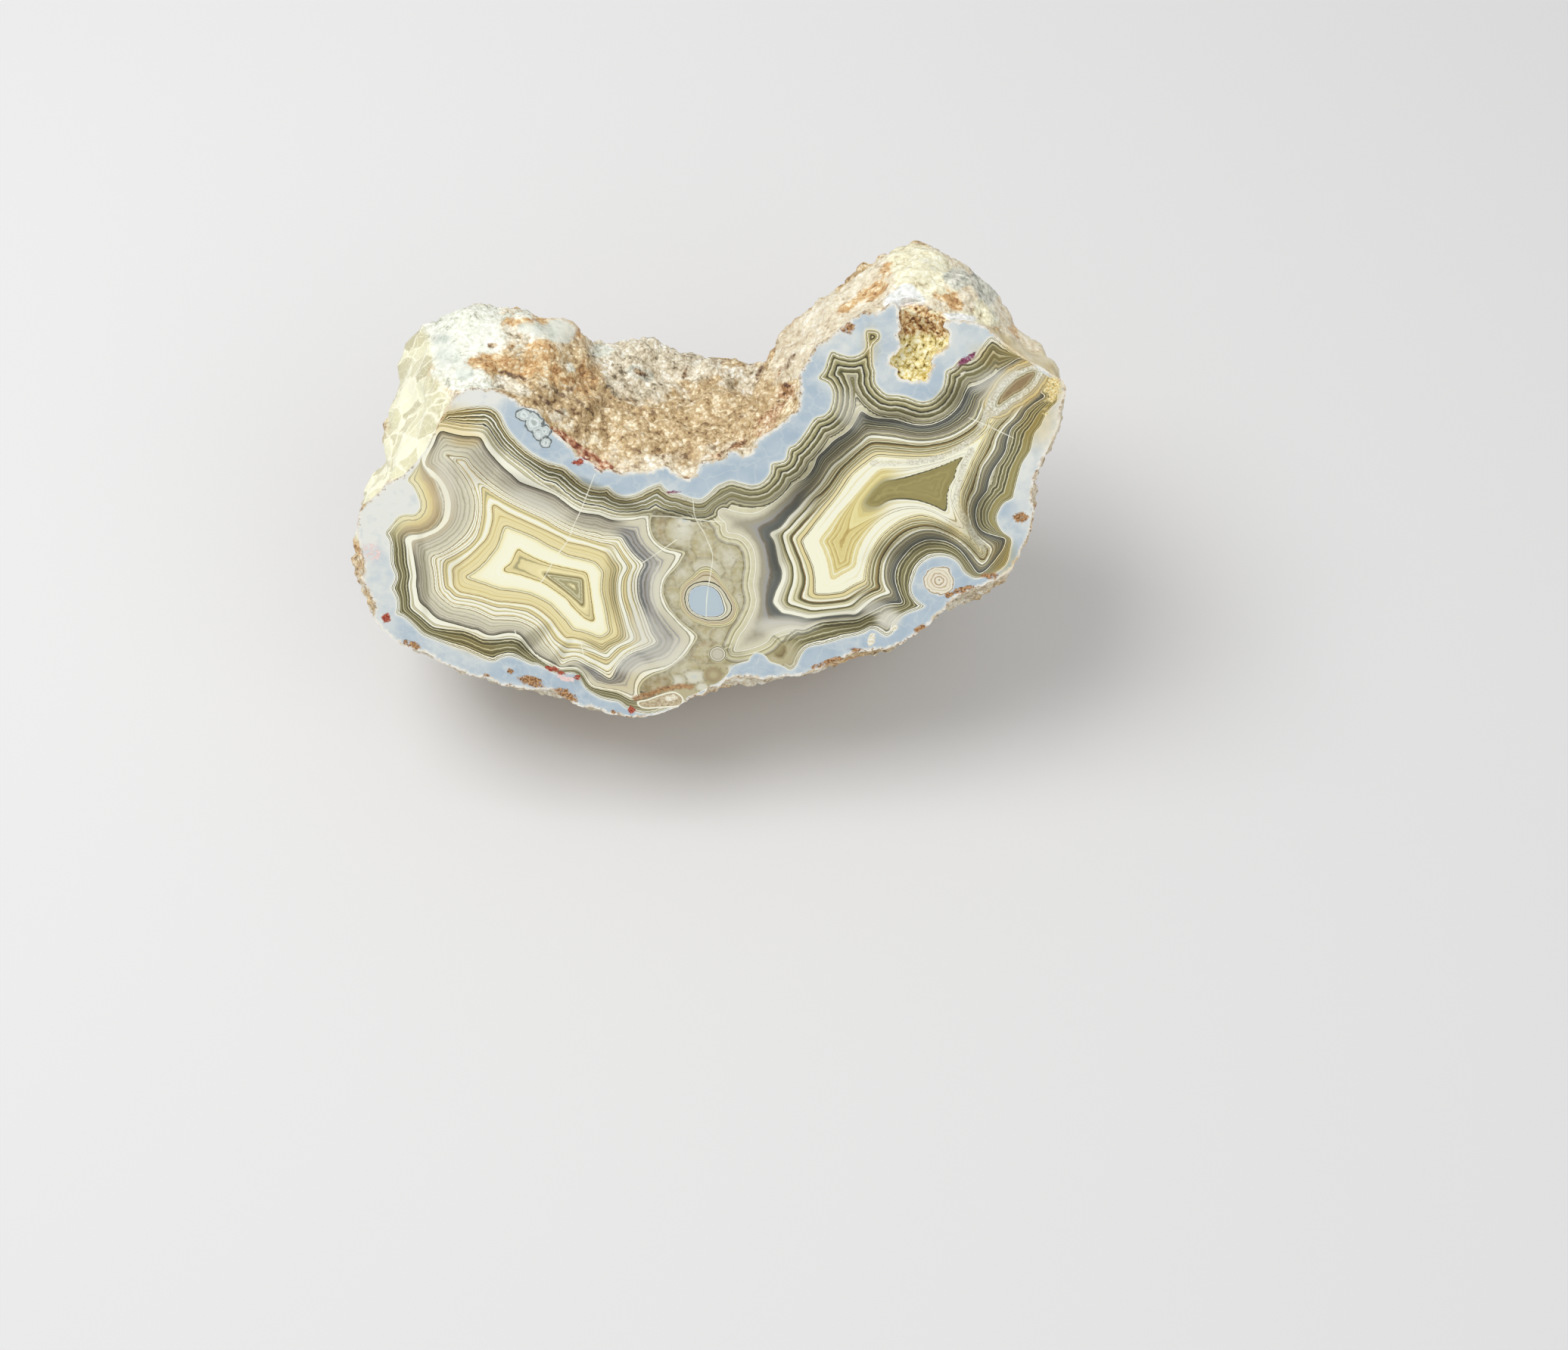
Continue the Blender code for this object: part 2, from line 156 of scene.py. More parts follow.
BORDER = [
    (4.1, 15.4), (4.3, 16.4), (4.3, 17.4), (4.1, 18.2), (3.7, 19.2), (4.1, 20), (4.4, 21), (4.1, 22),
    (3.9, 23.2), (4, 25), (3.9, 26.2), (3.5, 27.2), (4.5, 28.5), (5.3, 29.5), (6.5, 29.9), (7.6, 29.9),
    (8.3, 30.7), (8.4, 31.5), (8.1, 32.6), (7.7, 33.6), (7, 34.5), (7.2, 35.2), (8.6, 37), (9.8, 38.8),
    (10.8, 40.7), (12, 43), (12.6, 44.2), (13.6, 44.4), (15, 44.7), (16.3, 44.9), (18.1, 45),
    (19.4, 44.4), (20, 43.6), (20.4, 42.5), (21.1, 41.2), (22.1, 40), (23.4, 38.7), (24.6, 37.9),
    (25.9, 37.2), (27.8, 36.7), (28.5, 36.2), (29.5, 35.2), (30.5, 34.3), (31.8, 33.7), (33, 33.6),
    (33.7, 33.8), (34.2, 33.2), (35, 32.6), (36, 32.4), (37, 32.6), (38, 33), (39, 33.6), (40, 34),
    (40.8, 34.2), (41.3, 33.5), (42.2, 32.9), (43, 32.8), (44, 32.4), (45, 32.1), (46, 31.95), (47, 32.6),
    (48.2, 33.8), (49, 34.2), (50, 34.6), (51, 34.4), (52, 34.1), (53, 33.95), (54, 34.2), (54.8, 34.9),
    (55.3, 35.7), (55.4, 36.5), (55.6, 37), (57, 37.3), (57.5, 37.9), (57.6, 38.7), (57.9, 39.3),
    (58.6, 39.6), (59.3, 40.4), (60, 41.4), (60.6, 42.4), (61.3, 43.3), (62.3, 43.6), (63, 44.2),
    (63.4, 45.2), (63.5, 46.5), (63.3, 47.3), (62.8, 48), (61.7, 48.5), (61.7, 48.9), (62.3, 49.7),
    (62.6, 50.5), (62.9, 51.5), (63.4, 52.3), (64.5, 51.9), (66, 51.6), (67.3, 52.1), (67.8, 53),
    (67.7, 54), (67.8, 55.1), (69.3, 55), (69.7, 54.2), (69.4, 53.6), (68.8, 53), (68.7, 52),
    (68.8, 50.5), (69.1, 49.4), (69.1, 48.2), (69.7, 47.3), (70.7, 46.5), (72, 46.4), (73.2, 46.2),
    (74.2, 45.8), (75.3, 45.5), (76.5, 45.8), (77.3, 46.5), (77.9, 47.4), (78.1, 48.5), (78.2, 49.5),
    (78.6, 49.9), (79.3, 50.3), (80, 51.2), (81, 51.1), (82, 51.6), (82.5, 52.4), (83.1, 53.3),
    (83.9, 54.2), (84.7, 54), (86.4, 52.7), (88.4, 51.3), (90, 50), (90.9, 49.3), (91.6, 48.9),
    (92.6, 48.3), (92.9, 47), (93, 45.5), (92.2, 44.6), (91.5, 43.5), (91, 42.2), (90.2, 41),
    (89.8, 38.8), (88.8, 37), (88.3, 35), (87.9, 33), (87.7, 32.1), (86.6, 31.4), (86, 30.4),
    (85.7, 29.4), (86, 28.2), (86.8, 27.1), (87.8, 26.3), (87.7, 24.6), (87.2, 22.6), (85.5, 21.2),
    (84, 20.8), (83.2, 20.6), (82.2, 21), (81.4, 21.7), (80.9, 22.6), (80.2, 23.3), (79.3, 23.75),
    (78.1, 23.85), (77, 23.65), (76.1, 23.1), (75.3, 22.2), (74.9, 21.1), (74.6, 20.1), (74.5, 19.2),
    (74.7, 18.3), (75.2, 17.5), (75.9, 16.9), (76.4, 16.5), (75.4, 16), (74.3, 15.6), (73.3, 15),
    (72.5, 13.9), (72.1, 12.7), (71.2, 12.1), (70.3, 12.7), (69.2, 13.2), (68.2, 12.6), (67.1, 12.2),
    (65.2, 11.8), (64.2, 11.4), (62.5, 10.9), (61.3, 10.7), (60.3, 10.3), (59.7, 9.6), (59.2, 8.6),
    (58.8, 7.6), (58, 7), (57.2, 7.5), (56, 8), (55.2, 8.3), (54.7, 9), (54.1, 9.5), (53.2, 9.6),
    (52.6, 9.1), (52.2, 8.4), (51.2, 8.1), (50.3, 7.7), (49.7, 7.1), (49.3, 6.3), (48.4, 5.3), (47, 4.5),
    (45.4, 3.6), (43.9, 2.9), (43, 2.1), (41, 1.1), (38.6, 0.3), (36.8, 0.5), (36, 0.9), (35, 1.3),
    (34.1, 2.1), (32.7, 2.4), (31.5, 2.8), (30.4, 3.5), (29.5, 4.3), (29, 5.4), (28.6, 6.2), (27.6, 6.6),
    (26.2, 6.4), (25.1, 6.7), (24.4, 7.1), (23.1, 7.8), (22.4, 7.8), (21.1, 8.4), (20.2, 8.9),
    (19.2, 9.1), (18, 8.8), (17.1, 8.3), (15.9, 8.6), (14.6, 9.3), (13.2, 10), (11.6, 10.5), (10.1, 11.1),
    (8.7, 11.7), (7.5, 12.3), (6.6, 13.3), (5.9, 14.1), (5.1, 14.9)]

WHITE_OUT = [
    (9.1, 37.5), (9.9, 35.7), (10.95, 34.5), (11.55, 33.1), (11.8, 31.7), (11.7, 30.3), (11.3, 29),
    (10.4, 27.9), (9.05, 27.2), (8, 26.9), (6.9, 26.8), (6.15, 26.3), (6.2, 25), (6.2, 22.8), (6.4, 21),
    (6.1, 19.7), (6.2, 17.8), (6.2, 16.3), (7.3, 15.2), (8.7, 13.8), (9.4, 13.4), (11.4, 13.1),
    (13.2, 12.9), (14.6, 12.3), (15.7, 11.7), (16.8, 11.6), (18, 11.65), (19.2, 11.8), (20.1, 11.75),
    (21, 11.35), (21.7, 10.45), (22.3, 9.7), (23.2, 8.8), (24.2, 8), (25.3, 7.3), (26.3, 7), (27.5, 7.1),
    (28.6, 6.9), (29.3, 6.1), (29.9, 5), (30.7, 4.3), (32.3, 3.9), (34, 3.5), (35.2, 2.8), (36, 2.4),
    (36.9, 2.6), (38.2, 2.9), (39.1, 3.1), (38, 3.1), (37.2, 3.3), (37.1, 4.2), (37.7, 5.3), (39.1, 6.3),
    (40.75, 6.9), (42.2, 8), (43.6, 9.2), (44.3, 10.3), (44.9, 11.2), (45.2, 12.3), (43.3, 14),
    (42.2, 15.3), (41.5, 16.3), (41, 17.5), (40.7, 18.5), (40.8, 19.7), (41.2, 20.7), (41.7, 21.3),
    (42.3, 21.9), (43, 22.8), (43.5, 23.7), (43.8, 24.4), (42.7, 24.75), (41.7, 24.95), (40.8, 25.35),
    (39.9, 26.1), (39.4, 27.1), (39.2, 28.2), (39.25, 29.1), (39.6, 30), (38.6, 29.95), (37, 29.65),
    (35.4, 29.6), (34, 29.85), (32.5, 30.4), (30.7, 30.7), (30, 30.9), (28.8, 31.6), (28, 32.25),
    (26.8, 33), (24.5, 34.5), (22.6, 36.2), (21.7, 36.9), (20.1, 38.3), (19, 39.6), (18.2, 41),
    (17.4, 41.75), (14.95, 42), (12.3, 42.5), (11.3, 42.2), (10.2, 39.9)]

WHITE_IN = [
    (9.5, 37), (10.6, 35.9), (11.65, 34.65), (12.3, 33.3), (12.6, 31.9), (12.6, 30.7), (12.3, 29.3),
    (11.65, 28.3), (10.6, 27.4), (9.4, 26.8), (8.2, 26.3), (7.1, 26), (7, 25), (7.2, 22.8), (7.3, 21),
    (7.15, 19.7), (7.25, 18.3), (7.5, 17.1), (8.4, 16.2), (9.05, 15.3), (10.1, 14.5), (12, 13.9),
    (14.1, 13.2), (15, 13.05), (15.7, 12.65), (16.5, 12.25), (17.4, 12.2), (18.6, 12.5), (19.4, 12.6),
    (20.4, 12.5), (21, 12.1), (21.5, 11.4), (22, 10.6), (22.6, 9.7), (23.4, 9), (24.5, 8.4), (25.6, 7.8),
    (26.3, 7.4), (27.5, 7.5), (28.8, 7.3), (29.7, 6.4), (30.2, 5.3), (31, 4.6), (32.5, 4.3), (34.2, 4),
    (35.5, 3.5), (36.1, 3.3), (36.2, 4), (36.4, 5.3), (37.3, 6.7), (39, 7.3), (41.5, 8), (43.3, 10),
    (44.1, 11.9), (42.3, 14.2), (41.7, 15), (40.7, 16.2), (40.2, 17.7), (40.2, 19.2), (40.5, 20.5),
    (41.2, 21.7), (41.8, 22.7), (42.3, 23.9), (41, 24.3), (39.7, 25.4), (38.8, 26.7), (38.6, 28.1),
    (38.4, 29.15), (37, 28.95), (35.5, 28.87), (33.8, 29.1), (32.3, 29.75), (30, 30.1), (28.7, 30.8),
    (27.3, 32), (26.3, 32.7), (24, 33.6), (22, 34.4), (21, 35.4), (19.9, 36.4), (18.8, 37.7),
    (17.8, 39.1), (17.3, 40.2), (16.7, 40.7), (14.9, 40.8), (13.4, 41.1), (11.8, 41.4), (10.8, 39.6)]

LAYER_1 = [
    (12.4, 38.2), (13.55, 37.9), (15, 37.75), (15.6, 36.9), (16.5, 35.9), (17.7, 34.65), (19.1, 33.5),
    (20.1, 32.75), (22, 31.6), (25.2, 30), (26.3, 29.3), (27.3, 28.7), (28.7, 28), (30.7, 27.3),
    (31.7, 27.2), (32.7, 26.8), (33.8, 26.7), (35.2, 26.6), (35.7, 25.8), (36.3, 24.8), (37, 23.9),
    (38.1, 22.7), (37.7, 21.8), (37.25, 20.5), (37.2, 19.2), (37.3, 17.7), (37.75, 16.3), (38.2, 14.9),
    (38.6, 13.6), (39, 12.4), (39.6, 11.2), (38.5, 10.5), (37.7, 10.1), (36.3, 9.6), (35, 8.7), (34, 7.4),
    (33.1, 5.75), (32, 6.4), (31.1, 7), (30, 7.6), (29.2, 8.1), (28.3, 8.5), (27.4, 8.3), (26.4, 7.8),
    (25.9, 8.8), (25.1, 10), (24.4, 10.9), (23.8, 11.9), (23.2, 12.8), (22.4, 13.55), (21.2, 14.2),
    (20, 14.45), (18.6, 14.55), (17.3, 14.6), (16.3, 15.1), (14.95, 15.8), (13.55, 16.2), (12.2, 16.4),
    (11.65, 16.7), (10.8, 17.4), (10.1, 18.2), (9.7, 19), (9.7, 20.3), (9.6, 21.9), (9.5, 23.6),
    (10.8, 24.2), (12, 24.9), (13, 25.7), (14.1, 26.7), (14.85, 27.75), (15.45, 29), (15.75, 30.3),
    (15.85, 31.7), (15.6, 33.1), (15.1, 34.5), (14.2, 36), (13.2, 37.4)]

LAYER_2 = [
    (13.6, 37.45), (14.8, 37.35), (15.3, 36.5), (16.2, 35.4), (17.4, 34.2), (18.8, 33.1), (21, 31.7),
    (25, 29.7), (27, 28.4), (28.5, 27.6), (30.6, 26.9), (32.5, 26.4), (34.7, 26.2), (35.2, 25.6),
    (35.7, 24.7), (36.5, 23.5), (37.2, 22.4), (36.7, 21.3), (36.4, 19.7), (36.5, 18), (37, 16.3),
    (37.6, 14.1), (38.1, 12.3), (38.5, 11.2), (37, 10.5), (35.4, 9.6), (34, 8.1), (32.9, 6.8), (32, 7.2),
    (31, 7.8), (30, 8.3), (29.3, 8.8), (28.3, 9.1), (27.4, 8.95), (26.5, 8.8), (25.7, 9.85), (25, 10.8),
    (24.4, 11.9), (23.8, 12.95), (23.1, 13.8), (22.1, 14.4), (21, 14.9), (20, 15.15), (18.6, 15.15),
    (17.35, 15.2), (15.95, 15.95), (14.95, 16.4), (13.4, 16.7), (11.9, 17), (11, 17.9), (10.3, 19.05),
    (10.2, 21), (10.1, 23.4), (10.8, 23.8), (12.2, 24.5), (13.55, 25.35), (14.75, 26.4), (15.6, 27.6),
    (16.1, 29.2), (16.35, 31), (16.1, 32.8), (15.5, 34.6), (14.6, 36.1)]

LAYER_3 = [
    (17.1, 33.7), (19, 32.3), (22, 30.6), (25.2, 29), (26.3, 28.2), (28, 27.3), (30.3, 26.5),
    (32.3, 25.8), (34, 25.4), (34.4, 25), (35.1, 23.7), (35.9, 22.2), (35.3, 21), (35, 19.7), (35, 18),
    (35.25, 16.7), (35.7, 15), (36, 13.6), (36.5, 11.6), (34.5, 10.5), (33.5, 9.6), (32.8, 8.9),
    (32, 9.1), (31, 9.6), (30, 10), (29, 10.3), (28.1, 10.4), (27.3, 10.45), (26.7, 10.8), (25.7, 11.6),
    (25.1, 12.6), (24.4, 13.8), (23.6, 14.7), (22.6, 15.45), (21.7, 15.9), (20.1, 16.2), (19.2, 16.4),
    (18, 16.45), (15.95, 17.2), (14.2, 17.7), (12.5, 18), (11.7, 18.9), (11.1, 19.5), (11.1, 22.8),
    (12.5, 23.8), (14.75, 25.3), (15.95, 26.9), (16.65, 29.7), (16.8, 31.5), (16.9, 32.8)]

LAYER_4 = [
    (18.3, 31.1), (20, 30), (22, 29), (25.2, 27.4), (27.3, 26.3), (28, 25.8), (30.5, 25.2), (32.7, 24.4),
    (33.2, 24), (33.7, 23.1), (34.3, 22), (34.1, 21), (33.9, 19.7), (34, 17.5), (34.5, 15), (34.9, 12),
    (33, 10.9), (32.2, 10.2), (31.7, 10.45), (31, 10.9), (29.9, 11.45), (29, 11.75), (28, 11.95),
    (27.2, 12), (26.3, 13.1), (25.5, 14.4), (24.5, 15.45), (23.3, 16.4), (22, 16.9), (19.4, 17.2),
    (17.7, 17.4), (15.95, 18), (14.2, 18.4), (13.1, 18.7), (12.35, 19.5), (12.35, 21), (12.4, 22),
    (13.55, 22.9), (14.9, 24), (16.1, 25.2), (17.2, 26.4), (17.95, 28.3), (18.2, 29.7)]

LAYER_5 = [
    (14, 20.8), (15.25, 21.7), (16.5, 22.8), (17.5, 24), (18.4, 25.2), (18.9, 26.4), (19.6, 28.1),
    (21, 27.7), (23.5, 26.6), (25.2, 25.5), (26.8, 24.7), (28, 24), (30, 23.5), (31.5, 23), (32, 22.5),
    (32.6, 21.6), (32.5, 20.3), (32.4, 18.8), (32.7, 17), (32.9, 15.8), (33.1, 14), (33.2, 12.7),
    (32.1, 11.9), (31.4, 12), (30.5, 12.4), (29.3, 12.8), (28.2, 13.1), (27.3, 14.4), (26.4, 15.45),
    (25.7, 16.3), (25, 17), (23, 18.1), (22, 18.45), (20.3, 18.8), (18.5, 19), (16.8, 19.65),
    (15.25, 20.2)]

BOWTIE = [
    (19.2, 21.8), (20.3, 22.9), (21.2, 24.7), (22, 24.3), (24, 23.2), (26, 22.5), (28, 22), (30, 21.5),
    (30.4, 21.2), (30.6, 20), (30.8, 18), (31, 15.5), (31.05, 14.45), (30, 14.75), (28.5, 16.3),
    (27.5, 17.7), (26, 18.9), (24.5, 20), (23, 20.6), (21, 21.3)]

BOWTIE_IN = [
    (24.6, 21.3), (26.5, 21.1), (28.4, 20.8), (29.7, 20.5), (29.8, 19.5), (29.8, 18), (29.7, 16.6),
    (29, 17.3), (27.6, 18.6), (26, 20)]

SLATE = [
    (48.3, 30.2), (49, 30.75), (50, 30.45), (51.5, 30.05), (53, 30), (54, 30.3), (55, 30.95), (56, 31.7),
    (57, 32.6), (58, 33.7), (59, 34.45), (60, 35.05), (60.7, 35.9), (61.2, 36.9), (61.6, 38),
    (62.5, 38.9), (63.5, 40), (64.2, 40.55), (65.2, 41.2), (66, 42), (66.6, 43), (67.3, 44.25),
    (68.3, 43.65), (69.5, 43.3), (71.5, 43.15), (72.5, 42.9), (73.5, 42.6), (74.5, 42.35), (75.5, 42.3),
    (76.5, 42.4), (77.5, 42.75), (78.5, 43.3), (79.3, 43.95), (80, 44.8), (80.5, 45.7), (80.9, 46.8),
    (81.4, 47.5), (82.5, 47.85), (83.6, 48.5), (84.5, 49.1), (85.2, 49.8), (86.3, 50.5), (87.8, 51.4),
    (88.7, 51), (90.6, 49.3), (91, 48.9), (90.9, 47.8), (90.8, 46.8), (91.4, 46.2), (90, 45.2),
    (89, 44.2), (88.5, 43.2), (87.9, 42.6), (87.2, 41.9), (86.9, 41), (86.7, 40), (86.6, 39),
    (86.3, 38.2), (85.7, 37.2), (85.2, 36.4), (84.8, 35.5), (84.5, 34.5), (84.3, 33.2), (83.9, 32.6),
    (83.3, 31.7), (83, 30.8), (82.9, 29.8), (83, 29), (83.3, 28.1), (84, 27.4), (85, 27), (86, 26.7),
    (87, 26.3), (86.8, 25), (86.1, 23.8), (85.2, 22.5), (84.2, 21.5), (83.4, 21.4), (82.7, 22.3),
    (82, 23.3), (81.3, 24.3), (80.3, 25.2), (79, 25.9), (77.5, 26.15), (76.3, 26.1), (75.3, 25.7),
    (74.3, 25), (73.5, 24), (72.8, 23), (72.4, 22), (72.25, 21), (72.35, 20), (72.7, 18.8), (73, 18),
    (73.3, 17), (72, 16.9), (71, 16.7), (70, 16.2), (69, 15.6), (68.1, 15.1), (67.2, 14.65), (65.7, 14.5),
    (63.5, 14.3), (62.3, 14.15), (61.5, 13.85), (60.6, 13.4), (59.8, 13.05), (59, 13.2), (58, 13.2),
    (57.2, 13), (56.2, 12.6), (55.5, 12.1), (54.8, 11.2), (53.5, 10.5), (52, 10), (50.3, 9.8),
    (50.5, 10.8), (51.1, 12.3), (51.8, 13.3), (52.4, 14.4), (52.9, 15.5), (53.2, 16.4), (53.35, 17.5),
    (53.2, 18.5), (53, 19.6), (53.1, 20.7), (53.3, 22), (53.3, 23.2), (53.1, 24.5), (52.7, 25.5),
    (52, 26.4), (51, 27), (49.5, 27.3), (49.3, 28.6), (48.5, 29.3)]

RING_1 = [
    (55.35, 27.1), (56.5, 27.75), (57.3, 28.6), (58, 29.6), (59, 30.6), (60, 31.9), (61, 33), (62, 34.2),
    (62.8, 35.5), (63.6, 36.7), (64.8, 37.7), (66, 38.8), (67.2, 39.8), (68.3, 40.8), (70, 40.8),
    (72, 40.55), (74, 40.15), (75.5, 40.05), (77, 40.2), (79, 40.75), (80.4, 41.5), (81.5, 42.3),
    (82.4, 43.1), (83, 44.5), (83.3, 45.6), (84.2, 46.8), (85, 47.9), (86, 48.8), (87.2, 49.9),
    (88.1, 50.7), (89.5, 50), (90.3, 49.1), (90.4, 48), (90.3, 47.2), (89.6, 46.4), (88.8, 45.3),
    (88, 44.2), (87.4, 43.2), (86.4, 42.2), (85.7, 41.2), (85.3, 40.3), (85.1, 39.2), (84.7, 38.4),
    (84.1, 37.4), (83.5, 36.4), (83.2, 35.2), (83, 34), (82.8, 33), (82.3, 32.2), (81.9, 31),
    (81.9, 29.9), (82.2, 28.7), (82.7, 27.6), (83.4, 26.6), (84.4, 25.8), (85.2, 25), (84.9, 23.8),
    (84.2, 22.7), (83.5, 22.9), (82.5, 24.2), (81.5, 25.3), (80.3, 26.3), (79, 27), (77.6, 27.5),
    (76.3, 27.6), (75.2, 27.4), (74, 26.8), (72.9, 25.9), (72, 25), (71.3, 23.9), (70.85, 22.8),
    (70.7, 21.7), (70.75, 20.5), (71.1, 19.4), (71.6, 18.5), (70.6, 18.1), (69.4, 17.5), (68.3, 16.6),
    (67.5, 15.8), (66.8, 15.35), (65.7, 15.4), (63.3, 15.15), (61.7, 14.9), (60.4, 14.8), (59.6, 15),
    (58, 15.4), (56.9, 15.65), (55.9, 16.8), (55.75, 17.3), (56, 18.3), (56.4, 19.3), (56.8, 20.2),
    (56.95, 21), (56.9, 21.9), (56.5, 22.9), (56.3, 24), (56.1, 25.2), (55.8, 26.2)]

RING_2 = [
    (57.05, 26.9), (58, 27.9), (58.9, 29), (59.8, 30), (60.6, 31), (61.3, 32), (62.2, 32.7), (63.2, 33.8),
    (64, 35), (64.8, 36.2), (65.8, 37.2), (66.8, 38.2), (67.8, 39.1), (68.8, 39.75), (70.3, 39.75),
    (72, 39.6), (74, 39.4), (75.5, 39.35), (77.3, 39.6), (79, 40), (80.6, 40.8), (82, 41.8), (83, 43),
    (83.5, 44.4), (83.9, 45.7), (84.7, 46.8), (85.4, 47.8), (86.4, 48.6), (87.6, 49.7), (88.7, 50.2),
    (89.9, 49.2), (90.05, 48.1), (89.9, 47.3), (89.1, 46.5), (88.1, 45.3), (87.2, 44.2), (86.5, 43.2),
    (85.6, 42.2), (85, 41.2), (84.6, 40.2), (84.2, 38.9), (83.7, 37.9), (83.1, 36.8), (82.8, 35.6),
    (82.5, 34.4), (82.2, 33.2), (81.8, 32.2), (81.6, 31.1), (81.6, 29.9), (81.9, 28.6), (82.4, 27.5),
    (83.1, 26.4), (84.1, 25.4), (84.7, 24.6), (84.3, 23.4), (83.7, 23.5), (82.5, 24.9), (81.3, 26),
    (80, 26.9), (78.8, 27.5), (77.6, 28), (76.3, 28.2), (75, 28.05), (73.6, 27.55), (72.4, 26.65),
    (71.3, 25.3), (70.5, 23.9), (70.1, 22.7), (69.95, 21.3), (69.9, 20.1), (70.1, 19.2), (69, 18.7),
    (67.8, 18), (66.8, 17.1), (66, 16.6), (64.3, 16.3), (62.5, 16.1), (60.9, 16), (58.9, 16.6),
    (58, 16.9), (57.7, 17.4), (58, 18.7), (58.4, 20), (58.5, 21.1), (58.4, 22.4), (58, 23.5),
    (57.6, 24.5), (57.3, 25.6)]

RING_3 = [
    (58.2, 26.5), (59, 27.6), (60, 28.8), (61, 30), (61.8, 31.1), (62.8, 32.2), (63.7, 33.4),
    (64.6, 34.9), (65.5, 36.1), (66.6, 37.2), (67.7, 38.2), (69, 39), (70.3, 39), (72, 38.85),
    (74, 38.65), (75.5, 38.6), (77.3, 38.85), (79, 39.3), (80.8, 40.1), (82.3, 41.1), (83.4, 42.4),
    (83.8, 44), (84.3, 45.4), (85, 46.6), (85.7, 47.6), (86.7, 48.3), (88, 49.2), (88.9, 49.7),
    (89.7, 49), (89.8, 48.1), (89.6, 47.4), (88.7, 46.5), (87.5, 45.2), (86.6, 44), (85.7, 43),
    (84.9, 42.1), (84.4, 41), (84, 39.9), (83.4, 38.6), (82.9, 37.4), (82.4, 36.2), (82, 35),
    (81.6, 33.9), (81.2, 32.8), (81.1, 31.6), (81.2, 30.4), (81.6, 29), (82.1, 27.7), (82.8, 26.4),
    (83.7, 25.3), (84.1, 24.4), (83.8, 24), (82.6, 25.3), (81.3, 26.4), (80, 27.3), (78.6, 28.1),
    (77.4, 28.7), (76, 28.95), (74.5, 28.8), (73, 28.2), (71.5, 27.1), (70.3, 25.7), (69.5, 24.3),
    (69, 23), (68.8, 21.8), (68.7, 20.5), (68.8, 19.6), (67.2, 18.5), (66, 17.7), (65.2, 17.4),
    (63, 17.1), (61, 17.1), (59.6, 17.6), (59.5, 18.1), (59.9, 19.5), (60, 20.8), (59.7, 21.9),
    (59.4, 23.1), (58.9, 24.4), (58.5, 25.5)]

RING_4 = [
    (59.5, 26.1), (60.3, 27.2), (61.2, 28.5), (62.2, 29.8), (63.2, 31.1), (64.1, 32.3), (65, 33.7),
    (65.8, 35), (66.8, 36.1), (68, 37.1), (69.4, 38.1), (70.8, 38.1), (72, 38), (74, 37.9), (75.5, 37.9),
    (77.3, 38), (79, 38.5), (80.8, 39.3), (82.5, 40.4), (83.8, 41.8), (84.2, 43.3), (84.7, 44.8),
    (85.4, 46.2), (86.1, 47.2), (87.2, 47.9), (88.4, 48.7), (89.2, 49.1), (89.5, 48.4), (89.3, 47.5),
    (88.3, 46.6), (87, 45.5), (85.9, 44.2), (85.1, 43.1), (84.4, 42), (83.9, 40.9), (83.4, 39.8),
    (82.8, 38.6), (82.2, 37.3), (81.8, 36.1), (81.4, 35.1), (81, 34.1), (80.6, 33), (80.6, 31.8),
    (80.8, 30.5), (81.3, 29), (81.9, 27.7), (82.5, 26.6), (83.3, 25.4), (83.6, 24.6), (82.8, 25.5),
    (81.5, 26.7), (80, 27.9), (78.7, 28.6), (77.5, 29.2), (75.8, 29.7), (74.5, 29.55), (73, 28.95),
    (71.6, 27.9), (70.3, 26.6), (69.4, 25.1), (68.8, 23.8), (68.4, 22.5), (68.2, 21.3), (68.1, 20.3),
    (67, 19.7), (65.9, 19), (65.1, 18.5), (63.9, 18.3), (62.6, 18.2), (61.4, 18.3), (61.2, 18.8),
    (61.2, 20.3), (61, 21.8), (60.7, 22.9), (60.2, 24), (59.7, 25.3)]

YELLOW = [
    (62, 26.1), (63, 27.6), (64.4, 29.7), (66, 31.6), (67.3, 33.2), (68.6, 34.8), (69.9, 36.1),
    (71.5, 36.2), (74, 36.3), (77, 36.9), (79.5, 37.7), (81.2, 38.3), (80.6, 36.8), (80.2, 35.2),
    (79.6, 33.8), (79.4, 32.3), (79.8, 31), (80.6, 29.5), (81.5, 28), (80.5, 28), (79, 29), (77.5, 30),
    (75.8, 30.6), (74, 30.7), (72, 30.2), (70.2, 29.2), (68.7, 27.6), (67.6, 25.7), (67, 23.8),
    (66.7, 22.3), (65, 21.2), (63.9, 20.5), (63.5, 20.8), (63.3, 21.9), (63, 23.3), (62.5, 24.8)]

HOOK = [
    (68.2, 31.4), (68.8, 32.6), (69.5, 33.5), (70.6, 34.4), (72, 34.7), (73.5, 35.1), (75, 35.6),
    (76.5, 36.1), (78.5, 36.9), (80.9, 38), (80.4, 37), (80.1, 36), (79.9, 35), (79.5, 34.2),
    (79.2, 33.4), (79, 32.4), (79, 31.2), (78.7, 30.3), (77.5, 30.9), (76, 31.5), (74.5, 31.9),
    (72.5, 32.05), (71, 31.8), (69.6, 31)]

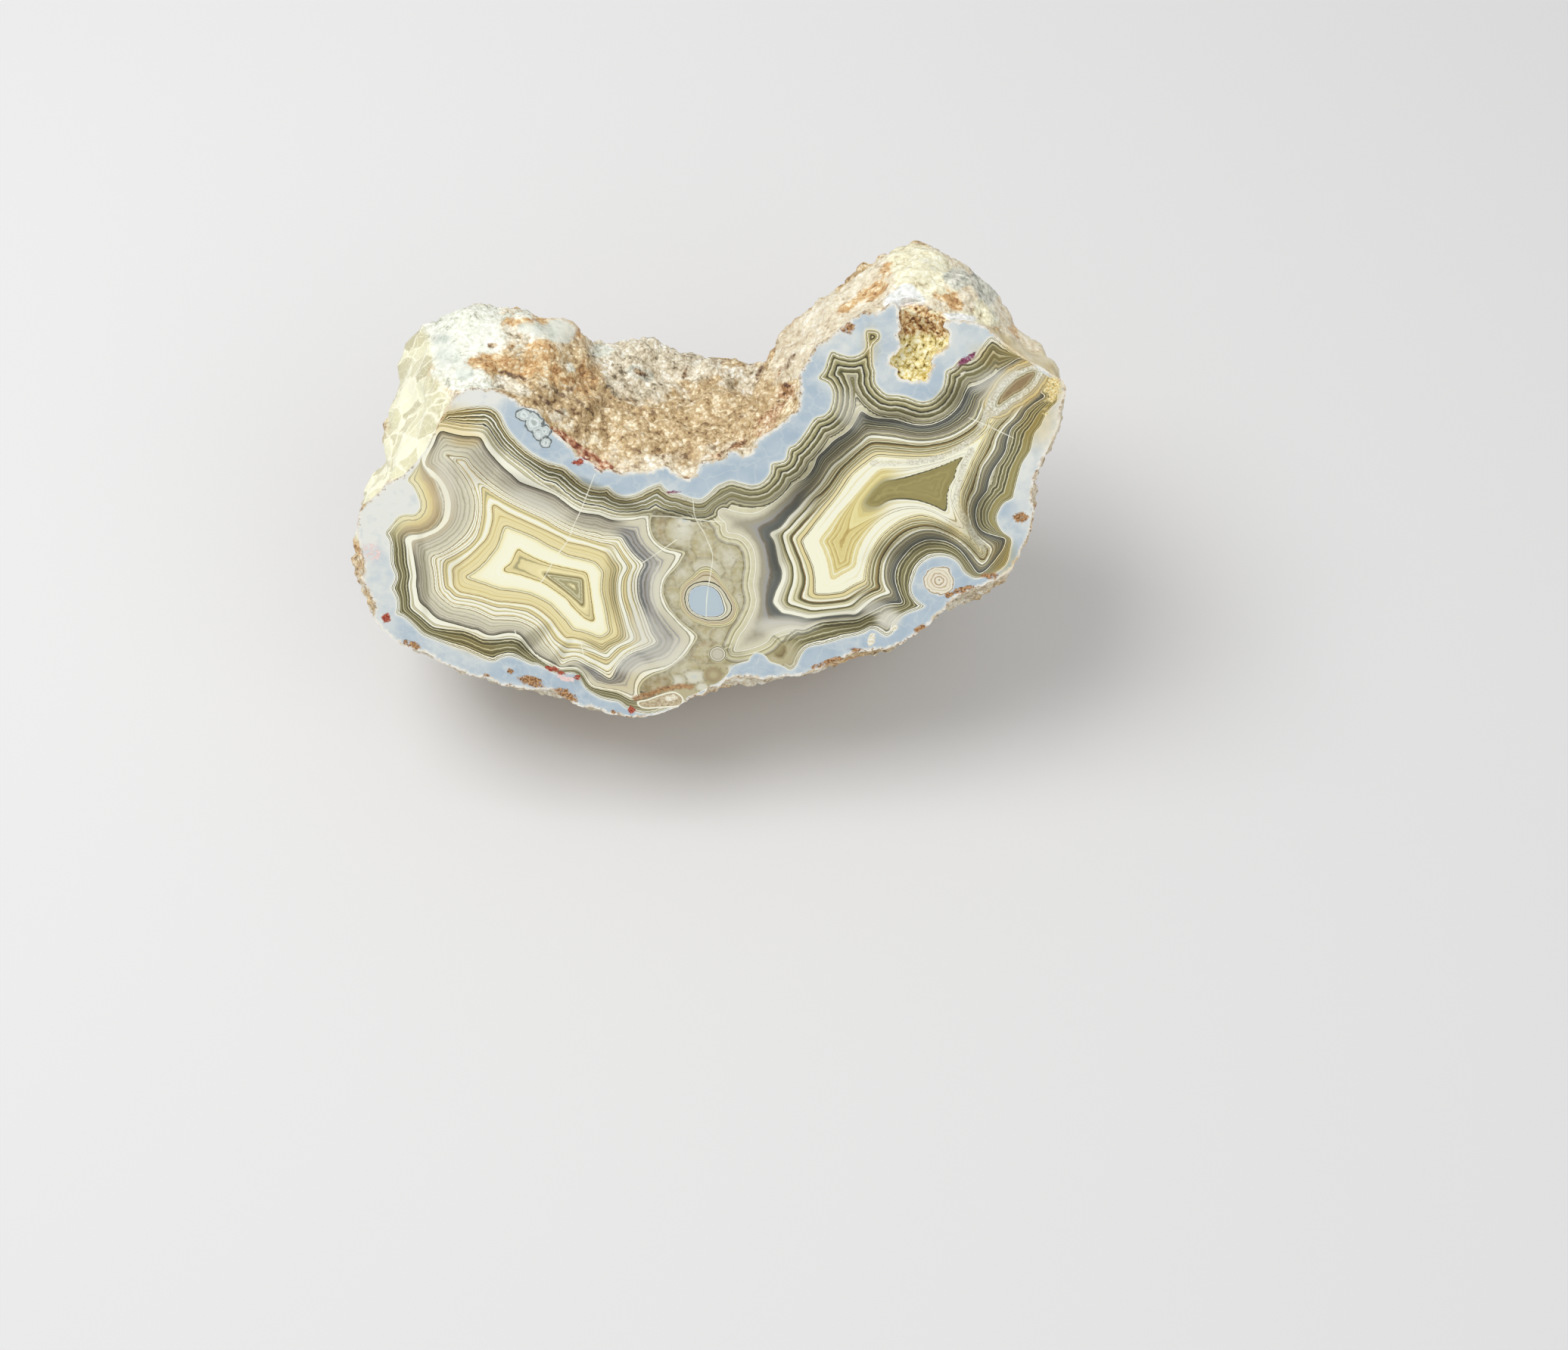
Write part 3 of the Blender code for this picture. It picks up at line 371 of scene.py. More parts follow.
EYE_0 = [
    (42.9, 17.5), (42.95, 18.8), (43.3, 19.7), (44, 20.4), (44.8, 21.1), (45.4, 21.8), (46.2, 22.3),
    (47.2, 22.2), (48, 21.4), (48.6, 20.4), (49.3, 19.3), (50, 18.3), (50.7, 17.3), (51, 16.1),
    (50.7, 14.8), (50, 13.9), (49, 13.5), (48, 13.4), (46.8, 13.5), (45.6, 13.9), (44.5, 14.5),
    (43.6, 15.4), (43, 16.4)]

EYE_1 = [
    (43.15, 17.5), (43.2, 18.6), (43.5, 19.3), (44, 19.9), (45, 20.5), (45.5, 21), (46, 21.4),
    (46.6, 21.5), (47.3, 21.4), (48, 20.8), (48.5, 20), (49, 19.3), (49.6, 18.5), (50.2, 17.4),
    (50.5, 16.1), (50.2, 15.1), (49.5, 14.3), (48.5, 14), (47.5, 13.95), (46.5, 14.1), (45.5, 14.4),
    (44.5, 14.9), (43.8, 15.6), (43.3, 16.5)]

EYE_2 = [
    (43.7, 17.4), (43.8, 18.3), (44.1, 19), (44.7, 19.6), (45.5, 19.95), (46.5, 20.05), (47.3, 19.95),
    (48, 19.6), (48.6, 19.1), (49.1, 18.4), (49.4, 17.7), (49.8, 17), (49.95, 16.3), (49.8, 15.6),
    (49.3, 15), (48.6, 14.6), (47.9, 14.5), (47, 14.5), (46.2, 14.7), (45.3, 15), (44.5, 15.5), (44, 16.2)]

EYE_3 = [
    (44.1, 17.5), (44.2, 18.3), (44.6, 19), (45.2, 19.4), (46, 19.6), (46.9, 19.5), (47.6, 19.2),
    (48.2, 18.6), (48.6, 17.8), (48.8, 17), (49, 16.2), (48.9, 15.6), (48.3, 15.1), (47.4, 15),
    (46.7, 15), (46, 15.05), (45.2, 15.4), (44.5, 16), (44.2, 16.7)]

LEFT_RINGS = [WHITE_OUT, WHITE_IN, LAYER_1, LAYER_2, LAYER_3, LAYER_4, LAYER_5, BOWTIE, BOWTIE_IN]
RIGHT_RINGS = [SLATE, RING_1, RING_2, RING_3, RING_4, YELLOW, HOOK]
EYE_RINGS = [EYE_0, EYE_1, EYE_2, EYE_3]

# The pit's mouth, the brown slit in the feather and the grainy bands of fine crystals

PIT = [
    (71.8, 57.3), (72, 56), (71.8, 54.8), (72.3, 54), (72.3, 52.6), (71.2, 52.1), (70.6, 51.4),
    (70.7, 50.6), (71.5, 49.8), (71.7, 48.8), (73, 48.3), (74.3, 48.2), (75.2, 47.8), (76, 47.8),
    (76.1, 49), (76.3, 50), (76.5, 51.3), (77.5, 52.4), (78.5, 53.2), (79.3, 54), (78.6, 54.3), (78, 55),
    (78.4, 56), (77.2, 57), (75.6, 57.5), (74.6, 58), (73, 57.7)]

SLIT = [(89.8, 49.5), (87.5, 48.5), (86, 46.8), (85.2, 45), (86.5, 46), (88.5, 47.3), (89.5, 48.5)]

SUGAR_LINES = [
    [(69, 37), (72, 37.1), (75, 37.2), (78, 37.9), (80.5, 39.2), (82.6, 41), (83.6, 43.4), (84.3, 45.6),
     (85.6, 47.6), (87.5, 49.4)],
    [(82, 38.8), (81, 36.5), (80.4, 34), (80.1, 31.8), (80.8, 30.2), (81.8, 28.4), (82.8, 26.7),
     (84.2, 25)],
    [(84.4, 43.8), (86.2, 44.8), (88, 46), (89.4, 47.6), (90.6, 49)]]

SUGAR_REACH = 0.42

# Glassy bubbles beside the rim (u, v, radius), the white-edged finger at the lower rim,
# the rusty line above it, the swirl, the orb and the cracks across the bands

BUBBLES = [
    (22.9, 43.6, 1.0), (24.2, 42.6, 1.35), (25.6, 41.5, 0.8), (24.7, 40.9, 0.75), (25.7, 39.9, 0.75)]

FINGER = [
    (36.7, 2.2), (38, 2.5), (39.5, 3.1), (41, 3.6), (42, 3.7), (42.9, 3.1), (43.2, 2.3), (42.6, 1.5),
    (41, 1.3), (39.5, 1.2), (38, 1.1), (37, 1.4)]

RUSTY_LINES = [[(36.4, 2.7), (38.4, 3.3), (40.4, 4.1), (42.4, 4.5), (44.4, 4.5)]]

TUBE_PLACE = (78.2, 20.3)
TUBE_REACH = 2.25
ORB_PLACE = (48.0, 9.4)

CRACKS = [
    [(32, 35.5), (31, 33), (30, 30.5), (29, 28.5), (28, 26), (26.2, 23.6), (24.5, 20.5), (24, 20)],
    [(45, 31.9), (45.1, 30), (45.3, 29.2), (45.8, 28.2), (46.4, 27.3), (46.7, 26.4), (47.2, 25.2),
     (47.5, 24.2), (47.5, 23), (47.3, 22), (47.1, 20.6), (46.9, 19.7), (46.6, 17.5), (46.5, 15)],
    [(39.5, 29.6), (42, 29.5), (45, 29.2), (47, 28.85), (49.2, 28.8)],
    [(37.9, 22.8), (39.5, 23.9), (42.7, 26.2)], [(20.4, 12.2), (20.2, 13)], [(29.5, 9.3), (29.2, 11.3)],
    [(81.5, 43.3), (84, 42.2), (87.5, 40.5)], [(57.5, 35.5), (58.6, 36.4)]]


# Colours, as they look on a screen

def display(red, green, blue):
    """A colour as it looks on a screen, turned into the shader's linear values."""
    def linear(value):
        return value / 12.92 if value <= 0.04045 else ((value + 0.055) / 1.055) ** 2.4
    return (linear(red), linear(green), linear(blue), 1)


WHITE = display(0.975, 0.97, 0.89)
CREAM = display(0.92, 0.90, 0.76)
CORE_CREAM = display(0.985, 0.98, 0.87)
PALE_KHAKI = display(0.84, 0.82, 0.68)
KHAKI = display(0.68, 0.65, 0.48)
GREY_KHAKI = display(0.66, 0.64, 0.55)
TAN = display(0.87, 0.81, 0.61)
PALE_TAN = display(0.94, 0.90, 0.70)
YELLOW_TAN = display(0.91, 0.855, 0.63)
YELLOW_CREAM = display(0.97, 0.93, 0.72)
GOLD = display(0.88, 0.82, 0.55)
GOLD_PALE = display(0.94, 0.90, 0.66)
GOLD_LINE = display(0.78, 0.69, 0.42)
OLIVE = display(0.50, 0.475, 0.32)
OLIVE_GOLD = display(0.62, 0.575, 0.36)
DARK_OLIVE = display(0.35, 0.335, 0.22)
BLACK_OLIVE = display(0.21, 0.205, 0.15)
OLIVE_BROWN = display(0.58, 0.50, 0.31)
BROWN_LINE = display(0.50, 0.43, 0.27)
LAVENDER = display(0.83, 0.81, 0.71)
SOFT_LINE = display(0.71, 0.69, 0.60)
PALE_LAVENDER = display(0.86, 0.845, 0.745)
DIM_LAVENDER = display(0.61, 0.59, 0.53)
WARM_GREY = display(0.50, 0.47, 0.40)
GREY_BLUE = display(0.64, 0.635, 0.62)
SLATE_BLUE = display(0.40, 0.41, 0.385)
BLUE_BLACK = display(0.225, 0.235, 0.225)
CHARCOAL = display(0.30, 0.295, 0.23)
BORDER_BLUE = display(0.725, 0.785, 0.825)
BORDER_DEEP = display(0.62, 0.70, 0.765)
BORDER_PALE = display(0.85, 0.875, 0.87)
CRUST = display(0.94, 0.93, 0.89)
CRUST_TAN = display(0.80, 0.71, 0.55)
CHIP_DARK = display(0.50, 0.36, 0.24)
CHIP_PALE = display(0.90, 0.84, 0.72)
BORDER_MILKY = display(0.91, 0.915, 0.885)
ARC_TAN = display(0.79, 0.75, 0.64)
BESIDE_LEFT = display(0.50, 0.47, 0.36)
LUMP_OUTLINE = display(0.54, 0.50, 0.38)
RUSTY_DARK = display(0.47, 0.31, 0.18)
RUSTY_PALE = display(0.80, 0.62, 0.42)
FINGER_DARK = display(0.62, 0.53, 0.40)
FINGER_PALE = display(0.86, 0.81, 0.68)
CRYSTAL_DARK = display(0.72, 0.69, 0.58)
CRYSTAL_PALE = display(0.97, 0.97, 0.91)
# Painted shade for the gaps between the rind's grains
GAP_SHADE = display(0.55, 0.42, 0.30)
WALL_VEIN = display(0.985, 0.98, 0.88)

# Bands by level, each (start, colour) or (start, colour, colour at its end)

LEFT_WEST = [
    (-0.3, WHITE), (0.16, KHAKI), (0.22, PALE_KHAKI), (0.34, GREY_KHAKI), (0.40, WHITE),
    (0.98, BLACK_OLIVE), (1.05, DARK_OLIVE, DIM_LAVENDER), (1.18, WARM_GREY),
    (1.21, DIM_LAVENDER, LAVENDER), (1.31, DIM_LAVENDER), (1.34, LAVENDER), (1.40, SOFT_LINE),
    (1.44, LAVENDER), (1.53, SOFT_LINE), (1.56, LAVENDER, PALE_LAVENDER), (1.68, SOFT_LINE),
    (1.71, PALE_LAVENDER), (1.79, CREAM), (1.84, LAVENDER), (1.94, OLIVE_BROWN), (2.04, WHITE),
    (2.36, KHAKI), (2.47, PALE_TAN), (2.58, WHITE), (2.86, BROWN_LINE), (2.95, TAN), (3.12, WHITE),
    (3.44, KHAKI), (3.53, PALE_TAN), (3.64, WHITE), (3.90, BROWN_LINE), (3.98, TAN, YELLOW_TAN),
    (4.22, KHAKI), (4.32, YELLOW_TAN), (4.45, WHITE), (4.76, PALE_TAN), (4.90, OLIVE_BROWN), (4.98, TAN),
    (5.12, GOLD_LINE), (5.16, PALE_TAN), (5.30, YELLOW_TAN), (5.37, GOLD_LINE),
    (5.41, YELLOW_TAN, PALE_TAN), (5.60, TAN), (5.65, PALE_TAN, YELLOW_TAN), (5.91, OLIVE_BROWN),
    (5.98, CREAM), (6.08, KHAKI), (6.11, YELLOW_CREAM, CORE_CREAM), (6.35, CORE_CREAM),
    (6.88, YELLOW_CREAM), (6.97, OLIVE_BROWN), (7.04, YELLOW_TAN), (7.25, KHAKI),
    (7.30, YELLOW_TAN, YELLOW_CREAM), (7.70, YELLOW_TAN, KHAKI), (7.95, OLIVE_BROWN),
    (8.02, OLIVE_GOLD, KHAKI), (8.12, CREAM), (8.15, KHAKI), (8.23, PALE_KHAKI), (8.26, KHAKI),
    (8.33, PALE_TAN), (8.36, KHAKI)]

LEFT_EAST = [
    (-0.3, PALE_KHAKI), (0.20, WARM_GREY), (0.30, WHITE), (0.82, GREY_KHAKI), (0.98, PALE_LAVENDER),
    (1.14, LAVENDER), (1.18, PALE_LAVENDER, LAVENDER), (1.34, GREY_BLUE), (1.38, LAVENDER, GREY_BLUE),
    (1.47, WARM_GREY), (1.50, GREY_BLUE), (1.59, WARM_GREY), (1.63, GREY_BLUE),
    (1.72, SLATE_BLUE, GREY_BLUE), (1.84, PALE_LAVENDER), (1.88, GREY_BLUE), (1.95, DARK_OLIVE),
    (2.03, WHITE), (2.40, OLIVE_BROWN), (2.50, PALE_KHAKI), (2.60, WHITE), (2.90, DARK_OLIVE),
    (2.98, YELLOW_TAN), (3.10, WHITE), (3.42, KHAKI), (3.52, YELLOW_TAN, TAN), (3.72, OLIVE_BROWN),
    (3.78, PALE_TAN), (3.93, DARK_OLIVE), (4.00, WHITE), (4.36, KHAKI), (4.46, CREAM),
    (4.62, OLIVE_BROWN), (4.70, TAN), (4.86, OLIVE), (4.92, KHAKI, TAN), (5.12, OLIVE), (5.18, TAN),
    (5.34, OLIVE_BROWN), (5.40, YELLOW_TAN, PALE_TAN), (5.70, KHAKI), (5.75, YELLOW_TAN),
    (5.91, OLIVE_BROWN), (5.98, CREAM), (6.08, KHAKI), (6.11, YELLOW_CREAM, CORE_CREAM),
    (6.35, CORE_CREAM), (6.88, YELLOW_CREAM), (6.95, OLIVE_BROWN), (7.03, OLIVE_GOLD, KHAKI),
    (7.20, PALE_TAN), (7.30, KHAKI), (7.50, OLIVE_GOLD), (7.62, KHAKI), (7.80, OLIVE_GOLD), (7.95, CREAM),
    (8.02, OLIVE_GOLD, KHAKI), (8.12, CREAM), (8.15, KHAKI), (8.22, PALE_KHAKI), (8.25, KHAKI),
    (8.32, CREAM), (8.35, KHAKI)]

RIGHT_UPPER = [
    (-0.3, WHITE), (0.05, BLUE_BLACK), (0.17, GREY_KHAKI), (0.19, BLUE_BLACK, SLATE_BLUE),
    (0.30, GREY_KHAKI), (0.315, SLATE_BLUE), (0.38, KHAKI), (0.395, SLATE_BLUE, CHARCOAL),
    (0.47, PALE_KHAKI), (0.49, CHARCOAL, WARM_GREY), (0.57, KHAKI), (0.585, CHARCOAL), (0.62, GREY_KHAKI),
    (0.65, WARM_GREY, GREY_KHAKI), (0.74, PALE_KHAKI), (0.79, OLIVE), (0.86, GREY_KHAKI),
    (0.92, BLACK_OLIVE), (0.99, WHITE), (1.30, KHAKI), (1.42, PALE_KHAKI), (1.55, OLIVE_BROWN),
    (1.68, CREAM), (1.80, OLIVE), (1.92, BLACK_OLIVE), (2.03, OLIVE_BROWN), (2.25, KHAKI), (2.40, CREAM),
    (2.52, OLIVE), (2.75, PALE_KHAKI), (2.95, OLIVE_BROWN), (3.06, KHAKI), (3.25, CREAM),
    (3.36, BLACK_OLIVE), (3.44, TAN), (3.65, PALE_TAN), (3.86, BROWN_LINE), (3.97, CREAM),
    (4.12, OLIVE_BROWN), (4.16, YELLOW_CREAM), (4.22, CORE_CREAM, WHITE), (4.45, PALE_TAN),
    (4.5, WHITE, CORE_CREAM), (4.95, BROWN_LINE), (4.99, WHITE), (5.12, KHAKI), (5.16, WHITE),
    (5.6, CREAM), (5.85, WHITE), (5.95, DARK_OLIVE), (6.02, OLIVE_GOLD), (6.15, OLIVE_GOLD, OLIVE)]

RIGHT_LOWER = [
    (-0.3, WHITE), (0.05, LAVENDER, PALE_LAVENDER), (0.22, LAVENDER, GREY_KHAKI),
    (0.35, GREY_KHAKI, GREY_BLUE), (0.52, WARM_GREY, SLATE_BLUE), (0.68, SLATE_BLUE), (0.87, GREY_KHAKI),
    (0.90, SLATE_BLUE), (0.96, WHITE), (1.32, PALE_LAVENDER), (1.5, GREY_KHAKI), (1.56, PALE_KHAKI),
    (1.68, KHAKI, OLIVE), (1.86, DARK_OLIVE), (1.98, WHITE), (2.28, CREAM), (2.40, KHAKI),
    (2.5, CREAM, KHAKI), (2.75, OLIVE), (2.9, BLACK_OLIVE), (3.0, OLIVE_BROWN), (3.15, WHITE),
    (3.3, CREAM), (3.45, KHAKI), (3.55, YELLOW_TAN), (3.9, BROWN_LINE), (4.04, CREAM), (4.12, OLIVE),
    (4.17, CORE_CREAM, CORE_CREAM), (4.75, CORE_CREAM), (4.90, YELLOW_CREAM, YELLOW_TAN), (4.98, TAN),
    (5.012, GOLD_PALE, GOLD), (5.045, CORE_CREAM), (5.055, GOLD), (5.09, GOLD_LINE),
    (5.102, GOLD_PALE, GOLD), (5.145, GOLD_LINE), (5.158, GOLD_PALE), (5.175, GOLD), (5.24, GOLD_LINE),
    (5.27, GOLD_PALE, GOLD), (5.6, GOLD, KHAKI), (5.97, OLIVE_GOLD), (6.1, OLIVE_GOLD, OLIVE)]

BORDER_BANDS = [
    (0.0, CRUST), (0.10, BORDER_PALE, BORDER_BLUE), (0.35, BORDER_BLUE), (0.75, BORDER_BLUE, BORDER_PALE),
    (0.96, WHITE)]

STRIPES_LEFT = BORDER_BANDS + [
    (1.05, BLACK_OLIVE), (1.10, WHITE), (1.17, DARK_OLIVE), (1.21, WHITE), (1.27, BLACK_OLIVE),
    (1.31, KHAKI), (1.36, DARK_OLIVE, OLIVE), (1.48, PALE_KHAKI), (1.52, OLIVE), (1.62, KHAKI),
    (1.65, DARK_OLIVE), (1.75, PALE_KHAKI), (1.80, OLIVE, DARK_OLIVE), (1.90, BLACK_OLIVE), (1.97, WHITE)]

STRIPES_TOP = BORDER_BANDS + [
    (1.04, BROWN_LINE), (1.07, WHITE), (1.12, BLACK_OLIVE), (1.15, WHITE), (1.20, OLIVE, OLIVE_BROWN),
    (1.26, CREAM), (1.30, BLACK_OLIVE), (1.33, OLIVE_BROWN, KHAKI), (1.39, DARK_OLIVE), (1.42, WHITE),
    (1.47, BLACK_OLIVE), (1.50, OLIVE), (1.55, WHITE), (1.59, DARK_OLIVE), (1.62, KHAKI), (1.67, WHITE),
    (1.70, BLACK_OLIVE), (1.74, WHITE), (1.79, KHAKI), (1.82, CREAM), (1.86, OLIVE_BROWN),
    (1.90, PALE_KHAKI), (1.93, BLACK_OLIVE), (1.96, WHITE)]

STRIPES_TONGUE = BORDER_BANDS + [
    (1.07, KHAKI), (1.11, CREAM), (1.18, OLIVE_BROWN), (1.21, CREAM, PALE_TAN), (1.33, GREY_KHAKI),
    (1.36, PALE_TAN, TAN), (1.55, display(0.84, 0.78, 0.63), display(0.75, 0.68, 0.54)),
    (1.8, display(0.78, 0.72, 0.59)), (1.86, WHITE)]

STRIPES_RIGHT = BORDER_BANDS + [
    (1.04, KHAKI), (1.10, PALE_KHAKI), (1.14, BLACK_OLIVE), (1.18, WHITE), (1.23, KHAKI),
    (1.28, DARK_OLIVE), (1.33, PALE_KHAKI), (1.37, KHAKI, OLIVE), (1.45, BLACK_OLIVE),
    (1.49, PALE_LAVENDER), (1.54, OLIVE), (1.60, DARK_OLIVE), (1.65, PALE_KHAKI), (1.69, GREY_KHAKI),
    (1.75, OLIVE), (1.81, PALE_LAVENDER), (1.85, DARK_OLIVE), (1.90, BLACK_OLIVE), (1.93, GREY_KHAKI),
    (1.97, WHITE)]

STRIPES_EAST = BORDER_BANDS + [
    (1.05, OLIVE), (1.12, PALE_KHAKI), (1.16, OLIVE, OLIVE_GOLD), (1.28, KHAKI), (1.31, OLIVE_GOLD),
    (1.42, PALE_KHAKI), (1.45, DARK_OLIVE), (1.52, PALE_KHAKI), (1.55, OLIVE), (1.63, PALE_KHAKI),
    (1.66, DARK_OLIVE), (1.73, PALE_KHAKI), (1.76, OLIVE), (1.84, PALE_KHAKI), (1.87, DARK_OLIVE),
    (1.93, PALE_KHAKI), (1.95, BLACK_OLIVE), (1.985, WHITE)]

EYE_BANDS = [
    (-0.6, KHAKI), (0.0, BROWN_LINE), (0.07, PALE_KHAKI), (0.35, KHAKI), (0.6, PALE_TAN),
    (0.85, OLIVE_BROWN), (0.95, display(0.80, 0.75, 0.63)), (1.3, OLIVE_BROWN),
    (1.38, display(0.83, 0.79, 0.67)), (1.8, BLACK_OLIVE), (2.02, PALE_LAVENDER), (2.5, GREY_KHAKI),
    (2.7, WHITE), (2.92, BLACK_OLIVE), (3.03, BORDER_PALE), (3.1, BORDER_BLUE),
    (3.3, display(0.73, 0.795, 0.82), display(0.82, 0.875, 0.885))]

BESIDE_RIGHT = [
    (0.0, LAVENDER), (0.15, PALE_KHAKI), (0.62, WHITE), (0.72, KHAKI), (0.95, PALE_KHAKI),
    (1.35, GREY_KHAKI), (1.6, BROWN_LINE), (1.72, KHAKI), (2.2, KHAKI)]

LUMP_TONES = [
    (0.0, display(0.46, 0.40, 0.27)), (0.15, display(0.58, 0.53, 0.37)), (0.3, display(0.67, 0.61, 0.47)),
    (0.4, display(0.73, 0.69, 0.53)), (0.5, display(0.76, 0.73, 0.60)), (0.6, display(0.80, 0.78, 0.68)),
    (0.7, display(0.86, 0.85, 0.77)), (0.85, display(0.78, 0.82, 0.82)), (1.0, display(0.96, 0.95, 0.90))]

# Ring bands of the round features, and bands of the slit, by distance in millimetres or in radii

# The bubbles are glassy grey, with painted shading of their bumps: pale inside and a dark ring at their edge
BUBBLE_TONE_AND_SHADING = [
    (-1.0, display(0.70, 0.74, 0.72)), (0.3, display(0.90, 0.93, 0.92)), (0.5, display(0.76, 0.80, 0.79)),
    (0.66, display(0.84, 0.87, 0.86)), (0.8, display(0.55, 0.58, 0.57)), (0.9, display(0.25, 0.27, 0.26)),
    (1.0, display(0.66, 0.71, 0.73))]

SLIT_BANDS = [
    (-2.0, display(0.58, 0.49, 0.35)), (-0.25, display(0.68, 0.61, 0.46)), (-0.06, BROWN_LINE),
    (0.06, PALE_KHAKI), (0.2, GREY_KHAKI), (0.35, PALE_KHAKI), (1.0, OLIVE_BROWN),
    (1.1, display(0.80, 0.75, 0.60)), (1.35, GREY_KHAKI), (1.45, TAN), (1.75, OLIVE_BROWN),
    (1.85, display(0.82, 0.77, 0.62))]

TUBE_BANDS = [
    (-1.0, display(0.40, 0.27, 0.17)), (0.14, display(0.92, 0.89, 0.80)),
    (0.5, display(0.70, 0.61, 0.47)), (0.66, display(0.93, 0.90, 0.82)),
    (0.95, display(0.77, 0.69, 0.55)), (1.1, display(0.92, 0.89, 0.80)), (1.5, display(0.84, 0.78, 0.66)),
    (1.62, display(0.93, 0.91, 0.83)), (1.95, display(0.66, 0.57, 0.43)), (2.08, BORDER_PALE)]

ORB_BANDS = [
    (0.0, display(0.80, 0.78, 0.70)), (0.7, display(0.72, 0.70, 0.60)), (0.92, display(0.90, 0.88, 0.80)),
    (1.06, DARK_OLIVE), (1.16, PALE_KHAKI)]

# Where the outer stripes have other bands, and where those soft ovals lie

STRIPE_ZONES = {
    "top_zone": (STRIPES_TOP, [(24, 41, 22, 11, -18, 1)]),
    "tongue_zone": (STRIPES_TONGUE, [(7, 32, 5.2, 5.0, 0, 1)]),
    "right_zone": (STRIPES_RIGHT, [(66, 44, 18, 16, 30, 1)]),
    "east_zone": (STRIPES_EAST, [(91, 36, 7.5, 22, -8, 1)]),
}

# Slow changes of tone over the bands: the tint, how it is mixed in, and its soft ovals

TINTS = {
    "darker": (display(0.55, 0.53, 0.42), "MULTIPLY", [
        (29.5, 6.6, 2.0, 1.0, 40, 0.3), (22.5, 11.6, 3.2, 1.0, 40, 0.45), (26.2, 9.2, 2.6, 0.7, 55, 0.35),
        (31, 33.6, 9, 1.0, -25, 0.6), (62, 36, 8, 2.2, 45, 0.6), (70, 43.2, 6, 1.0, 5, 0.5),
        (42, 29.9, 3, 0.7, 0, 0.6), (33.6, 19, 0.9, 4, 0, 0.3), (75, 26, 6, 1.6, 20, 0.5),
        (82.6, 30, 1.6, 6, 0, 0.5), (66, 14.3, 4, 1.2, 0, 0.5), (19, 40.2, 2.2, 1.0, -60, 0.5),
        (8.2, 21, 0.7, 5, 0, 0.5), (56.2, 24.5, 1.1, 3.4, 0, 0.45), (79, 46.2, 2.2, 1.4, 30, 0.5)]),
    "warmer": (display(0.97, 0.90, 0.74), "MULTIPLY", [
        (13.5, 42.8, 3.6, 2.2, 0, 0.8), (10.6, 31.8, 1.6, 3.4, 0, 0.3), (9.2, 28.6, 2.6, 1.3, 20, 0.3),
        (15.2, 40.4, 2.2, 1.1, 0, 0.8), (35, 5.2, 4, 1.8, 0, 0.4), (90.5, 43.5, 2.6, 4, 0, 0.7),
        (92.3, 47, 1.4, 2, 0, 0.9), (86.8, 23.6, 1.8, 2.6, 0, 0.8), (68.4, 53, 1.2, 2.6, 0, 0.5),
        (87.5, 52.2, 2.6, 1.4, -30, 0.8), (84.5, 51.4, 3, 1.4, -20, 0.6), (14, 11, 4, 1.6, -25, 0.5),
        (80.5, 28.5, 1.2, 3, -20, 0.4)]),
    "cooler": (display(0.83, 0.82, 0.82), "MULTIPLY", [
        (16.5, 36.5, 2.6, 2.4, 30, 0.7), (23, 33, 5, 1.6, -28, 0.9), (32, 28.8, 4, 1.2, -10, 0.8),
        (14, 36.5, 1.6, 1.6, 0, 0.5), (37.2, 16, 1.3, 6, 8, 0.5), (40, 12.5, 2.6, 3, 30, 0.4),
        (60, 31.5, 4.5, 1.6, 48, 0.5), (12, 22.5, 1.6, 2.4, 0, 0.3)]),
    "paler": (display(0.90, 0.89, 0.83), "MIX", [
        (38.5, 12, 2.6, 3.8, 30, 0.5), (41, 9.8, 2.6, 2.4, 0, 0.5), (36, 8.0, 2.4, 1.6, 0, 0.5),
        (24, 31.2, 4, 1.2, -28, 0.5), (39.6, 19.5, 0.8, 4, 0, 0.4), (57, 13.6, 4, 1.3, 0, 0.6),
        (65.5, 44.5, 1.6, 2.6, 30, 0.35), (71.5, 14.6, 1.6, 1.4, 0, 0.8), (84, 48.3, 2.4, 1.0, 30, 0.5),
        (85.4, 47.8, 2.6, 0.9, 40, 0.4), (70, 16.2, 2.4, 1.0, -10, 0.4), (12, 34, 1.2, 4, 0, 0.4)]),
}

# Stains and chips: dark colour, light colour and soft ovals

